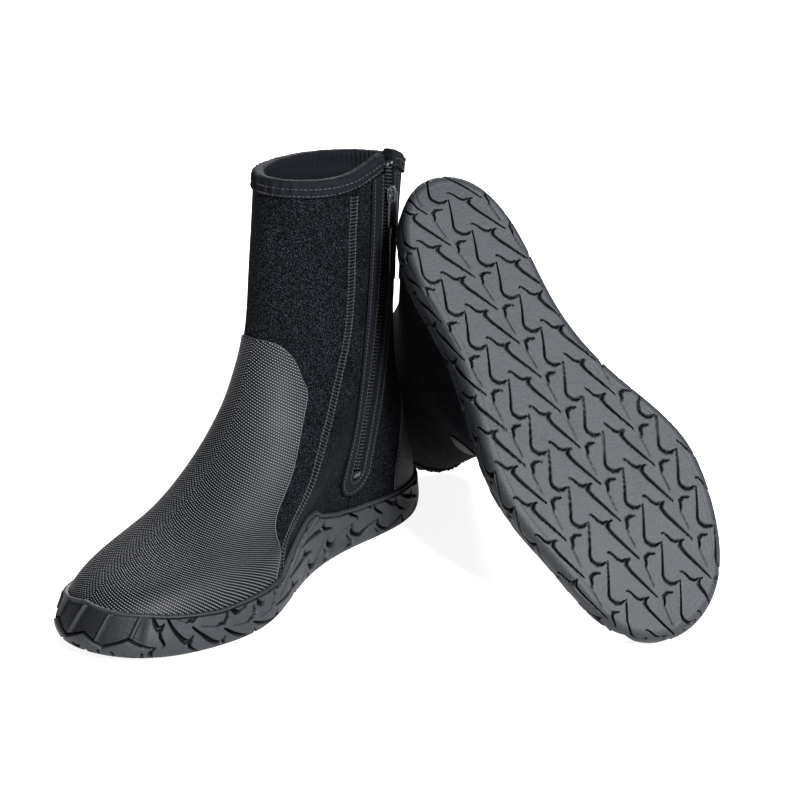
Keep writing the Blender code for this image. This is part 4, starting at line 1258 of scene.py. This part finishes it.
def slider(side):
    """Two plates, the post between them and the bridge on one body; the loop and the tab on the other."""
    body = [
        plate(5.5, 4.4, 2.6, 3.5, 0.3),
        plate(5.2, 3.9, -2.4, -1.5, 0.3),
        plate(1.8, 0.34, -2.0, 3.0, 0.05),
    ]
    arch = spline(np.linspace(0, 1, 6), BRIDGE, np.linspace(0, 1, 30))
    body.append(tube(arch, 0.7, 12, flat=0.9, up=(0, 1, 0)))
    points, faces = merge(body)
    piece = as_piece(side, "slider", in_slider(points), faces, ZIP_METAL, "zip_slider", sharp=50)
    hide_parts(f"{side}_zip_slider")
    points, faces = tube(loop_path(), 0.55, 12, closed_path=True)
    piece = as_piece(side, "pull_loop", in_slider(points), faces, ZIP_METAL, "zip_pull")
    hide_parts(f"{side}_zip_pull_loop")
    bottom = PULL_BAR[0] + LOOP_LENGTH
    low, high = PULL_BAR[2] - 1.8, PULL_BAR[2] + 1.8
    tab = [plate(17.6, 3.3, low + 0.5, high - 0.5, 0.6, 0.35, bottom + 16.0),
           plate(3.2, 3.3, low, high, 0.8, 0.6, bottom + 1.4)]
    grip_ribs = bottom + np.arange(9.0, 31.0, 2.4)
    tab += [plate(0.55, 2.5, low + 0.1, high - 0.1, 0.3, 0.5, x) for x in grip_ribs]
    points, faces = merge(tab)
    thin = np.interp(points[:, 0] - bottom, [3.0, 18.0, 34.0], [1.0, 0.52, 0.22])
    curl = np.interp(points[:, 0] - bottom, [10.0, 34.0], [0.0, 0.9])
    points[:, 2] = PULL_BAR[2] + (points[:, 2] - PULL_BAR[2]) * thin + curl
    piece = as_piece(side, "pull_tab", in_slider(points), faces, PULL_PLASTIC, "zip_pull", sharp=50)
    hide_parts(f"{side}_zip_pull_tab")
    return len(faces)


for boot_side in PLACES:
    print(boot_side, "tab quads", slider(boot_side))

# %% [markdown]
# ## Inside
# The sock sole closes the neoprene below, and a loose felt footbed with a low rim lies on it. Both are
# stacks of rings drawn in from the foot's outline, since little of them shows past the collar.

# %% Sock sole and footbed
def flat_ring(angle, inset, height):
    """The upper's lowest ring drawn in by inset, at a height over the bent ground line."""
    ring = offset(angle, 0.0, np.full(angle.shape, -float(inset)))
    ring[:, 2] = sole_rise(ring[:, 1]) + height
    return ring


def level_piece(side, name, sections, material):
    """A stack of rings closed by strips straight across the foot."""
    half = np.linspace(0, math.pi, 121)
    angle = np.concatenate([half, TAU - half[-2:0:-1]])
    count = len(angle)
    rings = np.stack([flat_ring(angle, inset, height) for inset, height in sections])
    k = np.arange(len(half) - 2)
    right, left = k + 1, count - 1 - k
    left_before = np.where(k == 0, 0, count - k) % count
    caps = np.stack([k, right, left, left_before], -1)
    caps[0] = (0, 1, count - 1, -1)
    last = (len(sections) - 1) * count
    end = np.array([[len(half) - 2, len(half) - 1, len(half), -1]])
    bottom = np.concatenate([caps, end])
    top = np.where(bottom >= 0, bottom + last, -1)
    flipped = top[:, ::-1]
    top = np.where((top[:, -1] < 0)[:, None], np.roll(flipped, -1, axis=1), flipped)
    faces = np.concatenate([bottom, grid_faces(len(sections), count, close=True)[:, ::-1], top])
    piece = as_piece(side, name, rings.reshape(-1, 3), faces, material, "boot", sharp=50)
    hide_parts(f"{side}_{name}")
    return len(faces)


for boot_side in PLACES:
    print(boot_side, "inside quads", [
        level_piece(boot_side, "sock_sole", [(0.8, 6.6), (0.6, 6.9), (0.6, 9.0), (0.8, 9.3)], NEOPRENE_JERSEY),
        level_piece(boot_side, "footbed", [(6.5, 9.7), (6.2, 10.0), (7.0, 12.4), (8.0, 12.9), (9.5, 12.5),
                                           (14.0, 12.2)], FOOTBED_FOAM),
    ])

# %% [markdown]
# ## Stage
# A pale floor that glows a little, soft light from the right and above with a weaker one behind, and the
# camera's place and lens. A contrasty view setting keeps black rubber and cloth from going grey.

# %% Light, floor and camera
FLOOR = 6.0
BOOTS = (0.1, 0.03, 0.08)


def area_light(name, place, aim, size, power):
    """A round lamp of this size in metres and power in watts, turned to aim at a place."""
    light = bpy.data.lights.new(name, "AREA")
    light.shape = "DISK"
    light.size = size
    light.energy = power
    lamp = bpy.data.objects.new(name, light)
    lamp.location = place
    direction = np.array(aim) - np.array(place)
    lamp.rotation_euler = Vector(direction).to_track_quat("-Z", "Y").to_euler()
    bpy.context.scene.collection.objects.link(lamp)


def floor():
    mesh = bpy.data.meshes.new("floor")
    corners = [(-FLOOR, -FLOOR, 0), (FLOOR, -FLOOR, 0), (FLOOR, FLOOR, 0), (-FLOOR, FLOOR, 0)]
    mesh.from_pydata(corners, [], [(0, 1, 2, 3)])
    s = Shader("pale floor", 0.9, specular=0.1)
    s.shader.inputs["Base Color"].default_value = linear("bcbcbc")
    s.shader.inputs["Emission Color"].default_value = linear("ffffff")
    s.shader.inputs["Emission Strength"].default_value = 0.62
    mesh.materials.append(s.material)
    piece = bpy.data.objects.new("floor", mesh)
    bpy.context.scene.collection.objects.link(piece)


floor()
world = bpy.data.worlds.new("studio")
bpy.context.scene.world = world
world.use_nodes = True
world.node_tree.nodes["Background"].inputs[0].default_value = (1, 1, 1, 1)
world.node_tree.nodes["Background"].inputs[1].default_value = 0.14
area_light("key", (2.8, -1.15, 2.2), BOOTS, 0.8, 290)
area_light("back", (-1.5, 2.0, 1.3), (0.05, 0.0, 0.1), 0.9, 60)
bpy.context.scene.view_settings.view_transform = "Standard"
bpy.context.scene.view_settings.look = "High Contrast"

camera_data = bpy.data.cameras.new("camera")
camera = bpy.data.objects.new("camera", camera_data)
camera_data.sensor_width = 36
camera_data.lens = 92.475
camera_data.clip_end = 20
camera_data.shift_x = 0.0055
bpy.context.scene.collection.objects.link(camera)
CAMERA_AZIMUTH, CAMERA_ELEVATION = math.radians(40.421), math.radians(20.580)
camera.location = (0.80024, -0.80808, 0.53429)
camera.rotation_euler = (math.pi / 2 - CAMERA_ELEVATION, 0, CAMERA_AZIMUTH)
bpy.context.scene.camera = camera
